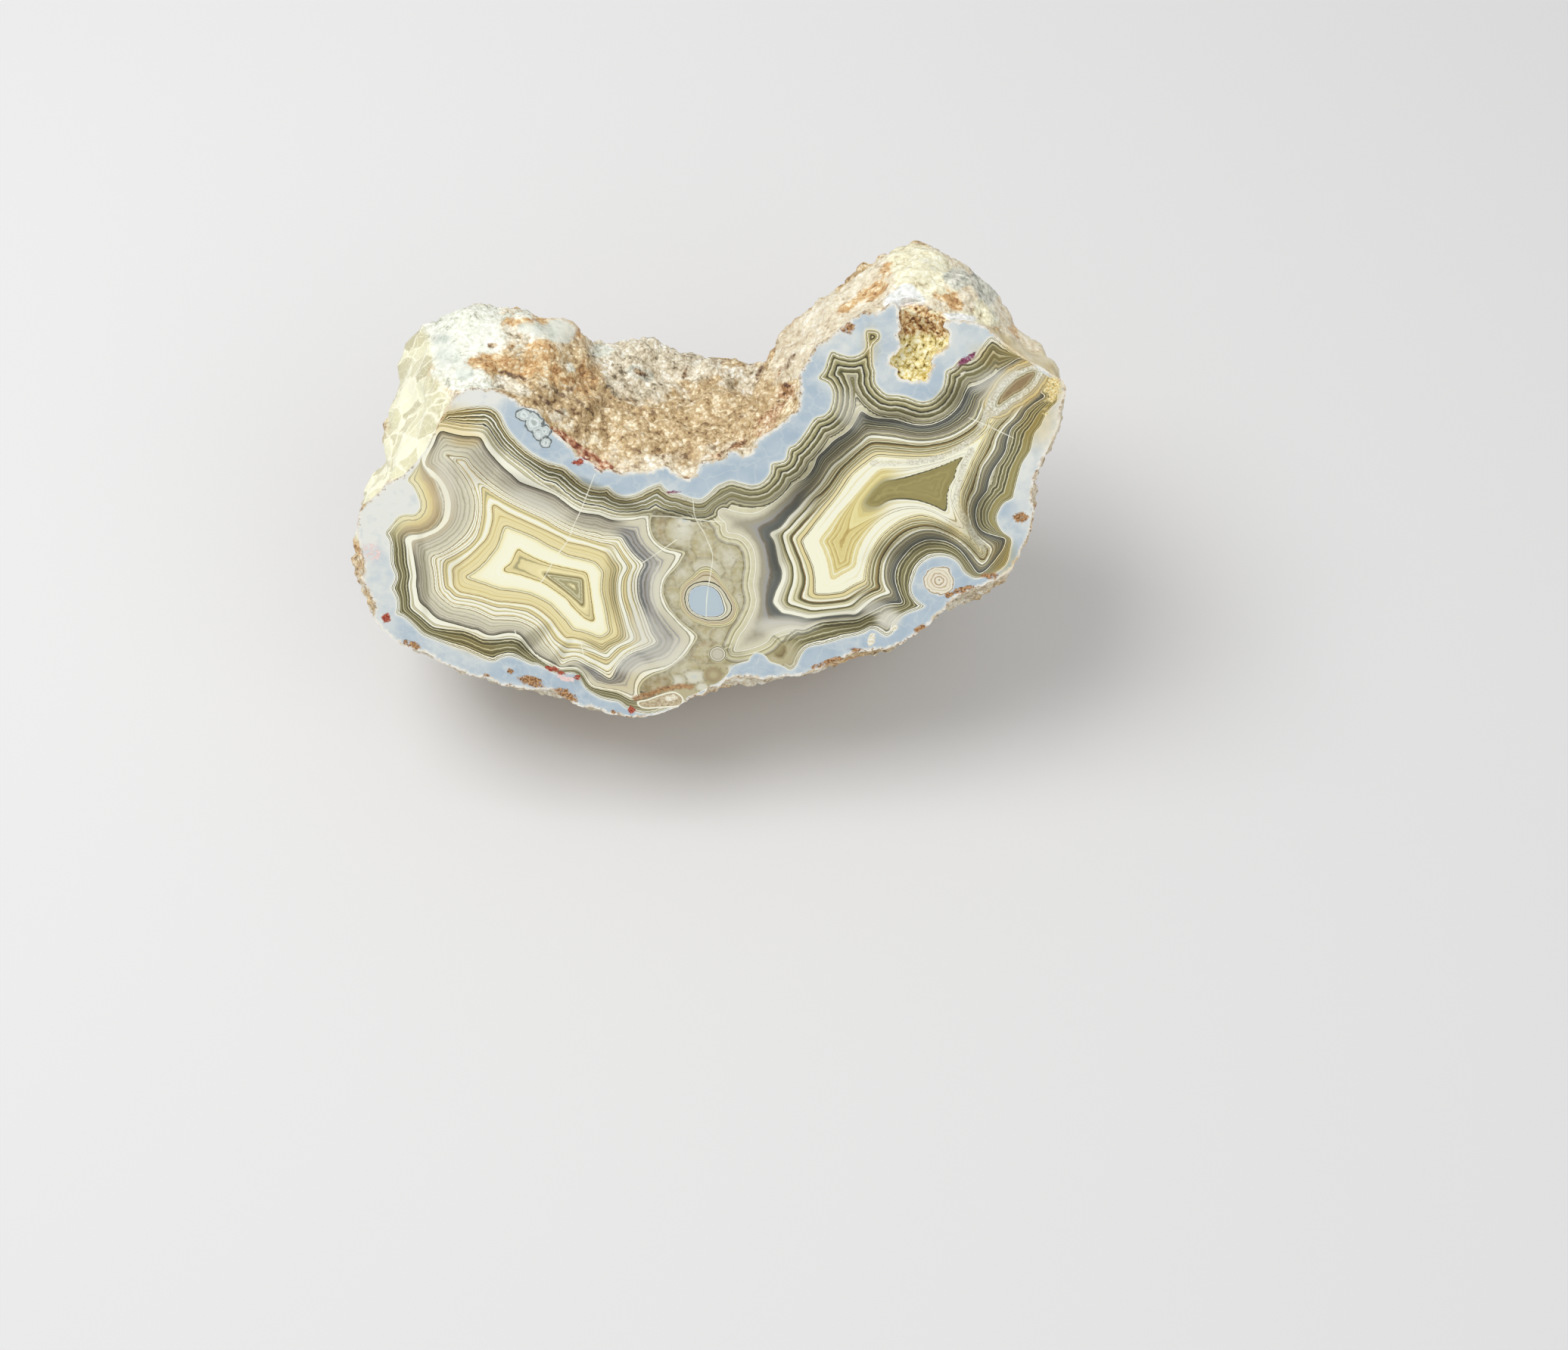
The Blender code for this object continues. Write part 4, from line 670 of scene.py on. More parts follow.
STAINS = {
    "violet": (display(0.42, 0.14, 0.26), display(0.60, 0.34, 0.46), [
        (80.8, 51.1, 1.9, 0.5, 35, 0.9), (42.5, 33.0, 1.3, 0.28, 0, 0.9), (31, 37.8, 0.8, 0.4, 0, 0.9),
        (32.7, 36.4, 0.8, 0.5, 0, 0.8)]),
    "red": (display(0.50, 0.12, 0.08), display(0.76, 0.40, 0.28), [
        (2.7, 14.8, 0.7, 0.8, 0, 1), (25.1, 7.2, 1.1, 0.45, -15, 1), (26.4, 6.5, 1.0, 0.35, -15, 0.9),
        (28.5, 5.9, 0.5, 0.45, 0, 1), (35.9, 0.9, 0.6, 0.7, 0, 1), (29.9, 37.2, 0.9, 0.6, 0, 0.9)]),
    "pink": (display(0.92, 0.78, 0.75), display(0.94, 0.87, 0.85), [
        (1.4, 24.4, 1.7, 1.8, 0, 0.66), (26.9, 5.7, 1.6, 0.5, -15, 0.9), (40.2, 1.9, 1.0, 0.5, 0, 0.5)]),
    "rust": (display(0.42, 0.27, 0.15), display(0.80, 0.62, 0.42), [
        (22.2, 5.3, 1.9, 0.9, -15, 1), (19.3, 6.8, 0.6, 0.5, 0, 1), (16, 6.2, 0.6, 0.3, 0, 1),
        (6.0, 10.8, 1.4, 0.6, -25, 0.95), (33.4, 0.6, 0.5, 0.4, 0, 1), (26.8, 3.3, 2.0, 0.8, -30, 1),
        (88.9, 29.4, 1.2, 0.85, 0, 1.0), (65.5, 55.3, 1.1, 0.8, 0, 0.9), (81.6, 19.0, 1.7, 0.5, 15, 1),
        (79.6, 18.2, 0.6, 0.5, 0, 1), (76, 13.2, 1.1, 0.7, 20, 1), (85.2, 21.0, 1.5, 0.5, 0, 0.9),
        (67, 10.1, 1.1, 0.35, 0, 0.95), (64, 8.4, 1.6, 0.6, 15, 0.95), (61.8, 7.6, 1.2, 0.4, 15, 0.95),
        (43.8, 31.9, 0.9, 0.5, 0, 0.5)]),
    "cream_chip": (display(0.88, 0.84, 0.70), display(0.99, 0.98, 0.93), [
        (69.2, 11.6, 0.6, 1.1, -20, 1), (72.3, 13.3, 0.6, 0.5, 0, 1), (41.4, 2.7, 1.1, 0.6, 0, 0.9),
        (80.5, 49.4, 0.6, 0.22, 30, 1)]),
    "gold_patch": (display(0.82, 0.68, 0.38), display(0.99, 0.95, 0.74), [
        (92.3, 47.2, 1.2, 1.9, 0, 0.9), (91.5, 44.6, 1.0, 1.4, 0, 0.5)]),
}

# The other soft ovals: the calm middle, the white arc beside the tongue and the milky parts of the border

FACE_OVALS = {
    "calm_zone": [(47, 5, 9.5, 4.6, 12, 1), (55, 9, 4.5, 3, 10, 1), (51.5, 12.6, 3.6, 2.8, 0, 1)],
    "arc_zone": [(8.2, 31.8, 6.2, 6.2, 0, 2)],
    "border_white": [
        (3.5, 31, 6, 7, 0, 1.4), (1.5, 18, 3, 8, 0, 0.8), (9, 38, 4, 7, -30, 1.4),
        (14, 46.5, 7, 2.6, 0, 1.4), (90.5, 34, 3, 8, 0, 0.9), (93, 42, 3, 8, 0, 1),
        (63.8, 53.8, 3.4, 2.6, 0, 0.8), (12, 9.6, 5, 1.6, -25, 0.6), (64, 49.4, 1.4, 3.0, 0, 0.5),
        (86.5, 27.5, 2, 2, 0, 0.6), (79.5, 54, 6, 4, 0, 0.5), (70, 52, 3, 6, 0, 0.35)],
    **{name: kind[-1] for group in (STRIPE_ZONES, TINTS, STAINS) for name, kind in group.items()},
}

# Rounded lumps of the cloudy middle, painted one over another: a soft oval with its tone as the last number

LUMPS = [
    (46, 27, 7, 6, 0, 0.42), (43.6, 27.5, 2.4, 2.8, 0, 0.62), (43.8, 29.0, 1.3, 1.0, 0, 0.72),
    (46.4, 25.6, 1.8, 2.2, 0, 0.5), (47.5, 29.8, 1.9, 1.7, 0, 0.46), (50.3, 28.6, 2.0, 1.3, 0, 0.66),
    (49.6, 23.6, 2.2, 3.2, 0, 0.56), (46.6, 21.6, 2.6, 2.0, 0, 0.66), (43.3, 21.5, 1.6, 2.0, 30, 0.54),
    (51.6, 21, 1.6, 2.6, 0, 0.5), (51.6, 17.6, 1.5, 2.6, 0, 0.58), (42, 18, 1.4, 1.6, 0, 0.5),
    (43.6, 14.4, 2.2, 1.3, -35, 0.5), (46, 12.2, 2.4, 1.5, -15, 0.44), (49.3, 12.1, 2.3, 1.6, 10, 0.56),
    (46.2, 9.8, 2.4, 1.8, 0, 0.40), (43.4, 7.0, 2.2, 1.6, 20, 0.48), (48.6, 9.5, 1.9, 1.7, 0, 0.52),
    (44.8, 6.0, 1.8, 1.2, 0, 0.72), (42.4, 5.4, 1.3, 1.0, 0, 0.68), (39.6, 4.6, 2.4, 1.2, 25, 0.30),
    (47.4, 6.3, 1.4, 1.3, 0, 0.34), (45.8, 4.4, 1.0, 0.8, 0, 0.74), (50.5, 7.3, 1.3, 1.0, 0, 0.85),
    (53.4, 8.3, 1.5, 1.1, 0, 0.88), (56, 7.1, 1.3, 0.9, 0, 0.86), (56.5, 10, 1.0, 1.3, 0, 0.16),
    (51, 6.4, 1.0, 0.8, 0, 0.95)]

# The rind's colours as they look on a screen, from its gaps to its brightest grains. The darkest steps are
# partly the painted shade of those gaps.

RIND_TONES = {
    "saddle": [
        (0.47, 0.36, 0.23), (0.70, 0.59, 0.43), (0.79, 0.69, 0.51), (0.87, 0.78, 0.62), (0.98, 0.94, 0.82)],
    "sugar": [
        (0.48, 0.44, 0.36), (0.76, 0.71, 0.60), (0.86, 0.82, 0.72), (0.94, 0.91, 0.82), (0.99, 0.99, 0.95)],
    "orange": [
        (0.56, 0.40, 0.24), (0.75, 0.58, 0.38), (0.84, 0.69, 0.48), (0.90, 0.79, 0.60), (0.98, 0.94, 0.82)],
    "slope": [
        (0.60, 0.53, 0.43), (0.83, 0.76, 0.64), (0.90, 0.86, 0.75), (0.95, 0.92, 0.83), (0.99, 0.98, 0.94)],
    "cream": [
        (0.75, 0.70, 0.56), (0.89, 0.86, 0.73), (0.94, 0.92, 0.79), (0.97, 0.96, 0.84), (0.99, 0.99, 0.92)],
    "white": [
        (0.66, 0.66, 0.60), (0.87, 0.88, 0.81), (0.92, 0.93, 0.87), (0.95, 0.96, 0.91), (0.99, 0.99, 0.96)],
    "peak": [
        (0.76, 0.76, 0.72), (0.89, 0.90, 0.88), (0.93, 0.94, 0.92), (0.96, 0.97, 0.96), (0.99, 0.99, 0.99)],
    "grey": [
        (0.42, 0.43, 0.41), (0.64, 0.65, 0.60), (0.82, 0.82, 0.76), (0.93, 0.93, 0.87), (0.99, 0.99, 0.95)],
    "rust": [
        (0.34, 0.22, 0.13), (0.56, 0.40, 0.26), (0.73, 0.57, 0.41), (0.86, 0.74, 0.58), (0.97, 0.92, 0.82)],
    "rim_red": [
        (0.26, 0.09, 0.05), (0.48, 0.24, 0.15), (0.68, 0.45, 0.32), (0.84, 0.68, 0.54), (0.96, 0.90, 0.80)],
    # The dark kind is painted shade in pits and creases
    "dark": [
        (0.20, 0.15, 0.11), (0.36, 0.27, 0.19), (0.52, 0.42, 0.32), (0.68, 0.58, 0.45), (0.86, 0.79, 0.66)],
    "wall": [
        (0.76, 0.74, 0.60), (0.83, 0.81, 0.67), (0.88, 0.87, 0.73), (0.92, 0.91, 0.78), (0.97, 0.96, 0.85)],
    "glass": [
        (0.70, 0.73, 0.69), (0.80, 0.83, 0.78), (0.87, 0.89, 0.85), (0.90, 0.91, 0.86), (0.96, 0.96, 0.91)],
    "ribbon": [
        (0.66, 0.58, 0.42), (0.77, 0.70, 0.53), (0.85, 0.80, 0.65), (0.92, 0.88, 0.76), (0.98, 0.96, 0.88)],
    "pit": [
        (0.40, 0.30, 0.12), (0.76, 0.67, 0.37), (0.91, 0.84, 0.56), (0.98, 0.93, 0.70), (1.0, 0.99, 0.88)],
    "pit_top": [
        (0.24, 0.12, 0.05), (0.52, 0.34, 0.17), (0.78, 0.60, 0.38), (0.92, 0.79, 0.56), (0.99, 0.95, 0.80)],
}

# Kinds that drift over the whole rind: the name, the size of the noise and where it starts

RIND_DRIFTS = [("sugar", 0.055, 0.5), ("slope", 0.045, 0.52), ("orange", 0.09, 0.57)]

# Smoother parts of the rind, as soft ovals where the viewpoint sees them

RIND_SURFACES = {
    "wall": [
        (8.2, 50.5, 3.6, 5.5, 0, 1), (9, 44.5, 4.2, 5, 0, 1), (7.2, 38.5, 3.8, 5, 20, 1),
        (3.2, 35.2, 4.4, 2.8, 30, 1), (0.6, 31, 2.6, 5, 0, 0.9)],
    "glass": [
        (28.2, 55, 2.2, 1.7, -15, 1), (24.6, 55.2, 2.4, 1.2, -10, 0.8), (15.4, 49.5, 1.35, 1.3, 0, 1),
        (13.2, 52.4, 2, 2.8, 20, 0.8)],
    "mild": [(68, 60, 15, 9, 35, 0.6), (87, 54, 11, 8, -35, 0.6), (14, 54, 7, 5, 0, 0.7)],
    "ribbon": [
        (84.5, 54.2, 3, 0.9, -30, 1), (88, 52.3, 3, 1.1, -35, 1), (91.3, 50.6, 2.4, 1.4, -35, 1),
        (93, 48.6, 1.2, 1.6, 0, 1)],
}

# The rind's other kinds, painted in this order

RIND_PATCHES = {
    "saddle": [
        (34, 45, 10, 10, -20, 1), (46, 44, 11, 9, 0, 1), (27, 47.5, 6, 4.5, -30, 1), (54, 46, 6, 6, 0, 1)],
    "slope": [
        (63, 58, 9, 6, 45, 1), (70, 62, 7, 6, 40, 1), (58.6, 52, 2.6, 5, -40, 0.9), (78, 58, 7, 5, 0, 1),
        (87, 54, 9, 5, -35, 1), (80, 63, 7, 4, 0, 1), (95, 44, 3, 9, 0, 0.9)],
    "sugar": [
        (34, 52, 2.6, 2.4, 0, 0.8), (38.5, 49.5, 5, 4.2, 0, 1), (41, 52.5, 4, 1.8, 0, 1),
        (46, 50.2, 3.6, 2.4, 0, 0.8), (52, 48.5, 4, 2.2, 0, 0.7), (28, 43.3, 2.6, 1.4, -35, 0.5),
        (44, 46, 4, 2, 0, 0.4), (21.6, 47.6, 3.2, 1.2, -20, 0.7), (18, 48, 2.2, 1, -10, 0.8),
        (20.5, 54.5, 3, 2, 0, 0.7)],
    "orange": [
        (18.8, 51, 2.6, 1.5, -15, 1), (22, 50.2, 2.4, 1.1, -25, 1), (25.6, 51.6, 2.4, 2.2, 0, 1),
        (27.6, 48.9, 3.4, 1.2, -33, 1), (31.5, 48.5, 2.2, 3.4, -10, 0.55), (71, 63.3, 1.7, 0.9, 20, 0.9),
        (68.6, 60.2, 2.6, 1.1, 30, 0.85), (65, 57.9, 1.6, 0.7, 30, 0.7), (77.4, 60, 2.4, 1.1, -20, 0.8),
        (79.3, 58.5, 1.4, 0.8, -20, 0.8), (87, 55, 1.8, 0.9, -30, 0.55), (90.5, 52.5, 1.2, 0.6, -30, 0.4)],
    "white": [
        (13.2, 52.6, 2.8, 3.6, 10, 1), (16.6, 54.6, 4.5, 3, 0, 1), (12.5, 55.8, 3.5, 2.2, 30, 1),
        (17.5, 57.2, 4, 1.4, 0, 0.9), (22.5, 57.3, 3, 1, -5, 0.6), (15, 48.6, 4.5, 1.8, -10, 0.9),
        (33.5, 52.4, 1.6, 1, 0, 0.8), (22.5, 52.6, 1.6, 1, 0, 0.5), (29.2, 50.2, 0.9, 1, 0, 0.6),
        (37, 54, 3, 0.8, 0, 0.6)],
    "cream": [
        (75, 62.8, 4, 3.4, 0, 1), (77, 61, 3.4, 1.6, 0, 0.6), (73, 65, 4, 1.6, 0, 0.7),
        (81, 56, 3.4, 1.4, -10, 1), (84, 57.5, 3, 2, -30, 0.7)],
    "grey": [
        (80.6, 64, 3.6, 2.6, -35, 1), (83, 61, 2.2, 3.2, -20, 1), (79.5, 62, 2.2, 1.6, 0, 0.8),
        (85.5, 58.5, 1.6, 2.4, -30, 0.8), (38.4, 49.3, 2, 1, -15, 0.8), (71.5, 66, 2.2, 1, 20, 0.5)],
    "peak": [
        (72.6, 58.6, 2.6, 1.9, 0, 1), (70.2, 57, 2.6, 0.8, 20, 0.9), (72.9, 60.2, 1.2, 1, 0, 1),
        (79.5, 56.6, 2.5, 0.8, -5, 0.8)],
    "rim_red": [
        (27.4, 41, 1.6, 0.7, -35, 0.8), (29.3, 39.7, 1.6, 0.6, -35, 0.9), (31.2, 38, 1.8, 0.8, -30, 1),
        (33, 36.8, 1.6, 0.7, -25, 1), (36, 36, 2, 0.5, 0, 0.4)],
    "rust": [
        (49, 38, 2, 0.6, 0, 0.5), (51, 39.6, 1.6, 0.6, 30, 0.6), (54.5, 42.5, 2.4, 1.6, 45, 0.6),
        (57.6, 46.8, 1.2, 1.2, 0, 1), (56, 44.2, 1.6, 0.8, 45, 0.8), (44.5, 34, 1.6, 1.2, 0, 0.8),
        (57, 50, 0.8, 2, -30, 0.5)],
    # Painted shade: small dark spots and thin dark streaks where pits and creases of the saddle lie in shade
    "dark": [
        (19.3, 53.1, 0.9, 0.5, 0, 0.9), (29.1, 47.2, 0.5, 0.45, 0, 0.9), (40, 44, 0.5, 0.35, 0, 0.8),
        (38.4, 49.4, 1.3, 0.45, -25, 0.8), (47.5, 46.6, 0.5, 0.3, 0, 0.7), (51.5, 43.6, 0.4, 0.3, 0, 0.7),
        (56.4, 45.6, 0.4, 0.3, 0, 0.8), (22.5, 48.8, 3, 0.4, -20, 0.6), (27, 47, 3, 0.4, -28, 0.62),
        (31, 44.8, 2.6, 0.45, -45, 0.62), (26.6, 45, 2.6, 0.35, -40, 0.6), (54, 49.5, 0.5, 1.6, -20, 0.8),
        (34.6, 50.6, 1.4, 0.3, -10, 0.6), (44.4, 49.5, 0.35, 1.4, -20, 0.6), (58, 51, 0.5, 1.6, -35, 0.6)],
}


# Outlines and distances

def smooth_ring(points):
    """A closed curve through the points, with CURVE_STEPS short sides for each of theirs."""
    here = np.array(points, float)
    before, after, beyond = (np.roll(here, n, 0) for n in (1, -1, -2))
    t = (np.arange(CURVE_STEPS) / CURVE_STEPS)[None, :, None]
    p, a, b, c = (q[:, None, :] for q in (before, here, after, beyond))
    curve = 0.5 * (2 * a + (b - p) * t + (2 * p - 5 * a + 4 * b - c) * t**2 + (3 * a - 3 * b + c - p) * t**3)
    return curve.reshape(-1, 2)


def distance_inside(spots, ring):
    """How far each spot is from the closed ring, positive inside. Far outside it is just FAR."""
    found = np.full(len(spots), -FAR)
    close = np.all((spots > ring.min(0) - FAR) & (spots < ring.max(0) + FAR), axis=1)
    side = np.roll(ring, -1, 0) - ring
    squared = (side**2).sum(1) + 1e-12
    steep = np.where(np.abs(side[:, 1]) < 1e-9, 1e-9, side[:, 1])
    places = np.flatnonzero(close)
    for first in range(0, len(places), CHUNK):
        some = places[first:first + CHUNK]
        offset = spots[some][:, None, :] - ring[None]
        share = np.clip((offset * side).sum(2) / squared, 0, 1)
        gap = offset - share[..., None] * side
        reach = np.sqrt((gap**2).sum(2).min(1))
        crosses = (offset[..., 1] < 0) != (offset[..., 1] < side[:, 1])
        left_of = offset[..., 0] < offset[..., 1] / steep * side[:, 0]
        inside = (crosses & left_of).sum(1) % 2 == 1
        found[some] = np.where(inside, reach, -reach)
    return np.maximum(found, -FAR)


def between(outer, inner, skin):
    """Goes from 0 on the outer line to 1 on the inner one. The SKIN_SHARE at each end is a thin skin."""
    whole = np.maximum(outer + inner, 1e-6)
    thin = np.minimum(skin, THIN_GAP_SHARE * whole)
    middle = SKIN_SHARE + (1 - 2 * SKIN_SHARE) * (outer - thin) / np.maximum(whole - 2 * thin, 1e-6)
    start = SKIN_SHARE * outer / thin
    end = 1 - SKIN_SHARE * inner / thin
    return np.where(outer < thin, start, np.where(inner < thin, end, middle))


def nested_level(spots, rings, skins, core_span):
    """One number for a set of nested rings: k on ring k, and between two rings the share of the way."""
    inside = [distance_inside(spots, smooth_ring(ring)) for ring in rings]
    level = SKIN_SHARE * inside[0] / skins[0]
    entered = inside[0] > 0
    for k, reach in enumerate(inside):
        if k + 1 < len(inside):
            share = between(reach, -inside[k + 1], skins[k])
            open_zone = entered & (inside[k + 1] <= 0)
            level = np.where(open_zone, k + share, level)
            entered = entered & (inside[k + 1] > 0)
        else:
            thin = SKIN_SHARE * reach / skins[k]
            deep = SKIN_SHARE + (reach - skins[k]) / core_span
            level = np.where(entered, k + np.where(reach < skins[k], thin, deep), level)
    return level, inside[0]


def line_gap(spots, lines):
    """How far each spot is from the nearest of some lines."""
    nearest = np.full(len(spots), FAR)
    for line in lines:
        points = np.array(line, float)
        for start, end in zip(points[:-1], points[1:]):
            side = end - start
            share = np.clip(((spots - start) @ side) / (side @ side), 0, 1)
            nearest = np.minimum(nearest, np.hypot(*(spots - start - share[:, None] * side).T))
    return nearest


def oval_size(spots, u, v, wide, high, turn):
    """How far each spot is from an oval's middle: 1 on the oval."""
    du, dv = spots[:, 0] - u, spots[:, 1] - v
    c, s = cos(radians(turn)), sin(radians(turn))
    return np.hypot((du * c + dv * s) / wide, (dv * c - du * s) / high)


def soft_oval(spots, u, v, wide, high, turn):
    """1 inside an oval and 0 outside it. TONE_EDGE is the share of its size over which it fades."""
    fade = np.clip((1 + TONE_EDGE / 2 - oval_size(spots, u, v, wide, high, turn)) / TONE_EDGE, 0, 1)
    return fade * fade * (3 - 2 * fade)


def tone(spots, ovals):
    """The strongest of some soft ovals at each spot."""
    found = np.zeros(len(spots))
    for *oval, strength in ovals:
        found = np.maximum(found, strength * soft_oval(spots, *oval))
    return found


# The stone's mesh

def numbers(items, name, width, kind=np.float64):
    """Reads one property of all items as an array."""
    found = np.empty(len(items) * width, kind)
    items.foreach_get(name, found)
    return found.reshape(-1, width) if width > 1 else found


def to_face(points, place):
    """Turns points in metres into (u, v, w) in millimetres."""
    along = points[:, 0] / MM + place[0]
    up = points @ np.array(UP_SLOPE) / MM + place[1]
    deep = place[2] - points @ np.array(NORMAL) / MM
    return np.stack([along, up, deep], axis=1)


def from_face(spots, place):
    """Turns (u, v, w) in millimetres into points in metres."""
    u, v, w = (spots[:, k, None] for k in range(3))
    axes = np.array([(1, 0, 0), UP_SLOPE, NORMAL])
    return ((u - place[0]) * axes[0] + (v - place[1]) * axes[1] + (place[2] - w) * axes[2]) * MM


def read_solid(node):
    """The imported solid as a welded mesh, and the place of the cut face in it."""
    solid = bmesh.new()
    solid.from_mesh(node.data)
    bmesh.ops.remove_doubles(solid, verts=solid.verts, dist=PLANE_SNAP)
    plane = max(v.co.dot(NORMAL) for v in solid.verts)
    front = {v for v in solid.verts if plane - v.co.dot(NORMAL) < PLANE_SNAP}
    place = (LEFTMOST_U - min(v.co.x for v in front) / MM,
             LOWEST_V - min(v.co.dot(UP_SLOPE) for v in front) / MM, plane / MM)
    faces = [f for f in solid.faces if front.issuperset(f.verts)]
    grown = bmesh.ops.extrude_face_region(solid, geom=faces)["geom"]
    bmesh.ops.delete(solid, geom=faces, context="FACES_ONLY")
    for item in grown:
        if isinstance(item, bmesh.types.BMVert):
            item.co += NORMAL * FRONT_SPARE * MM
    bmesh.ops.recalc_face_normals(solid, faces=solid.faces)
    return solid, np.array(place)


def modified(data, name, kind, group=None, **settings):
    """A mesh after one modifier, which may follow a vertex group given as (weight, vertex numbers)."""
    shape = bpy.data.objects.new(name, data)
    bpy.context.scene.collection.objects.link(shape)
    if group is not None:
        made = shape.vertex_groups.new(name="weights")
        for weight, chosen in group:
            made.add(chosen.tolist(), weight, "REPLACE")
    modifier = shape.modifiers.new(name, kind)
    for setting, value in settings.items():
        setattr(modifier, setting, value)
    seen = shape.evaluated_get(bpy.context.evaluated_depsgraph_get())
    changed = bpy.data.meshes.new_from_object(seen)
    bpy.data.objects.remove(shape)
    return changed


def fine_mesh(solid):
    """The solid as an even mesh of small squares, with the facets blended away."""
    data = bpy.data.meshes.new("fine")
    solid.to_mesh(data)
    fine = modified(data, "squares", "REMESH", mode="VOXEL", voxel_size=VOXEL * MM)
    co = numbers(fine.vertices, "co", 3)
    edges = numbers(fine.edges, "vertices", 2, np.int32)
    count = np.bincount(edges.ravel(), minlength=len(co))[:, None]
    for _ in range(BLEND_ROUNDS):
        total = np.zeros_like(co)
        for k in range(3):
            total[:, k] = (np.bincount(edges[:, 0], co[edges[:, 1], k], len(co))
                           + np.bincount(edges[:, 1], co[edges[:, 0], k], len(co)))
        co += (total / count - co) * BLEND_SHARE
    fine.vertices.foreach_set("co", co.ravel())
    fine.update()
    return fine


def thin_out(fine, place):
    """Merges triangles where the rind is nearly flat, but not near the face."""
    deep = to_face(numbers(fine.vertices, "co", 3), place)[:, 2]
    weights = [(weight, np.flatnonzero((deep >= low) & (deep < high))) for low, high, weight in THINNING]
    return modified(fine, "fewer", "DECIMATE", weights, ratio=RIND_SHARE, vertex_group="weights",
                    vertex_group_factor=THINNING_FORCE, use_collapse_triangulate=True)


def roughen(fine, place):
    """Moves the rind's vertices out and in, and fills the pit."""
    co = numbers(fine.vertices, "co", 3)
    normals = numbers(fine.vertices, "normal", 3)
    spots = to_face(co, place)
    pit = pit_numbers(spots)
    smooth = patch_numbers(co, [tuple(f.vertices) for f in fine.polygons], place, RIND_SURFACES)
    calm = np.maximum.reduce(list(smooth.values()))
    from_rim = np.clip((spots[:, 2] + RIM_START) / RIM_FADE, RIM_KEEP, 1)
    keep = np.clip(co[:, 2] / MM / FLAT_FADE, 0, 1) * from_rim
    told = zip(co / MM, calm, smooth["wall"], pit, keep)
    push = np.array([rind_height(Vector(p), 0, 0, in_pit) if in_pit > 0
                     else rind_height(Vector(p), 1 - CALM_SHARE * flat, wall, 0) * share
                     for p, flat, wall, in_pit, share in told])
    co += normals * (push * MM)[:, None]
    deeper = np.clip((spots[:, 2] - PIT_FILL_START) / PIT_FILL_FADE, 0, 1)
    co += np.array(NORMAL) * (pit * deeper * PIT_FILL * MM)[:, None]
    co[:, 2] = np.maximum(co[:, 2], 0)
    fine.vertices.foreach_set("co", co.ravel())
    fine.update()


def rind_height(p, rough, scoops, pit):
    """How far the rind stands out at a point, all in millimetres."""
    height = LUMP_RISE * noise.fractal(p / LUMP_SIZE, 1.0, 2.1, 3) * (1 - pit)
    if rough > 0:
        for size, rise in GRAINS:
            near = noise.voronoi(p / size + Vector((size, 0, 0)))[0]
            gap = GAP_DEPTH * max(0.0, GRAIN_GAP - (near[1] - near[0])) / GRAIN_GAP
            height += rough * rise * (0.5 - min(near[0], 1.0) - gap)
        height += rough * STREAK_RISE * noise.noise(along_streaks(p))
    if scoops > 0:
        height += scoops * SCOOP_RISE * (noise.voronoi(p / SCOOP_SIZE)[0][0] - 0.4)
    if pit > 0:
        for size, rise in PIT_GRAINS:
            height += pit * rise * (0.5 - noise.voronoi(p / size)[0][0])
    return height


def along_streaks(p):
    """The point counted in lengths along the streaks and in widths across them."""
    c, s = cos(radians(STREAK_TURN)), sin(radians(STREAK_TURN))
    long, wide = STREAK_SIZE
    return Vector(((p.x * c + p.z * s) / long, p.y / long * 2, (p.z * c - p.x * s) / wide))


def pit_numbers(spots):
    """1 in the pit and 0 away from it."""
    found = np.zeros(len(spots))
    beside = np.all(np.abs(spots[:, :2] - PIT_CENTRE) < PIT_BESIDE, axis=1)
    near = np.flatnonzero(beside & (spots[:, 2] < PIT_REACH))
    inside = distance_inside(spots[near, :2], smooth_ring(PIT))
    mouth = np.clip((inside + PIT_SPARE) / PIT_MOUTH_FADE, 0, 1)
    found[near] = mouth * np.clip(PIT_REACH - spots[near, 2], 0, 1)
    return found


def seen_spots(spots):
    """Where points behind the face appear on its plane from the photograph's viewpoint."""
    eye = np.array(EYE_PLACE)
    share = eye[2] / (eye[2] - spots[:, 2])
    return eye[:2] + (spots[:, :2] - eye[:2]) * share[:, None]


def seen_depth(tree, place, u, v):
    """How deep behind the face the rind lies where the viewpoint sees it at (u, v)."""
    eye, aim = (Vector(p) for p in from_face(np.array([EYE_PLACE, (u, v, 0)], float), place))
    hit = tree.ray_cast(eye, aim - eye)[0]
    return to_face(np.array([hit]), place)[0, 2] if hit else 0.0


def patch_numbers(points, faces, place, patches):
    """How strongly each patch covers each point. Its ovals lie where the viewpoint sees the rind."""
    tree = BVHTree.FromPolygons(points.tolist(), faces)
    spots = to_face(points, place)
    seen = seen_spots(spots)
    found = {}
    for name, ovals in patches.items():
        found[name] = np.zeros(len(points))
        for *oval, strength in ovals:
            apart = np.abs(spots[:, 2] - seen_depth(tree, place, *oval[:2]))
            cover = strength * np.clip(1.6 - apart / PATCH_DEPTH, 0, 1) * soft_oval(seen, *oval)
            found[name] = np.maximum(found[name], cover)
    return found


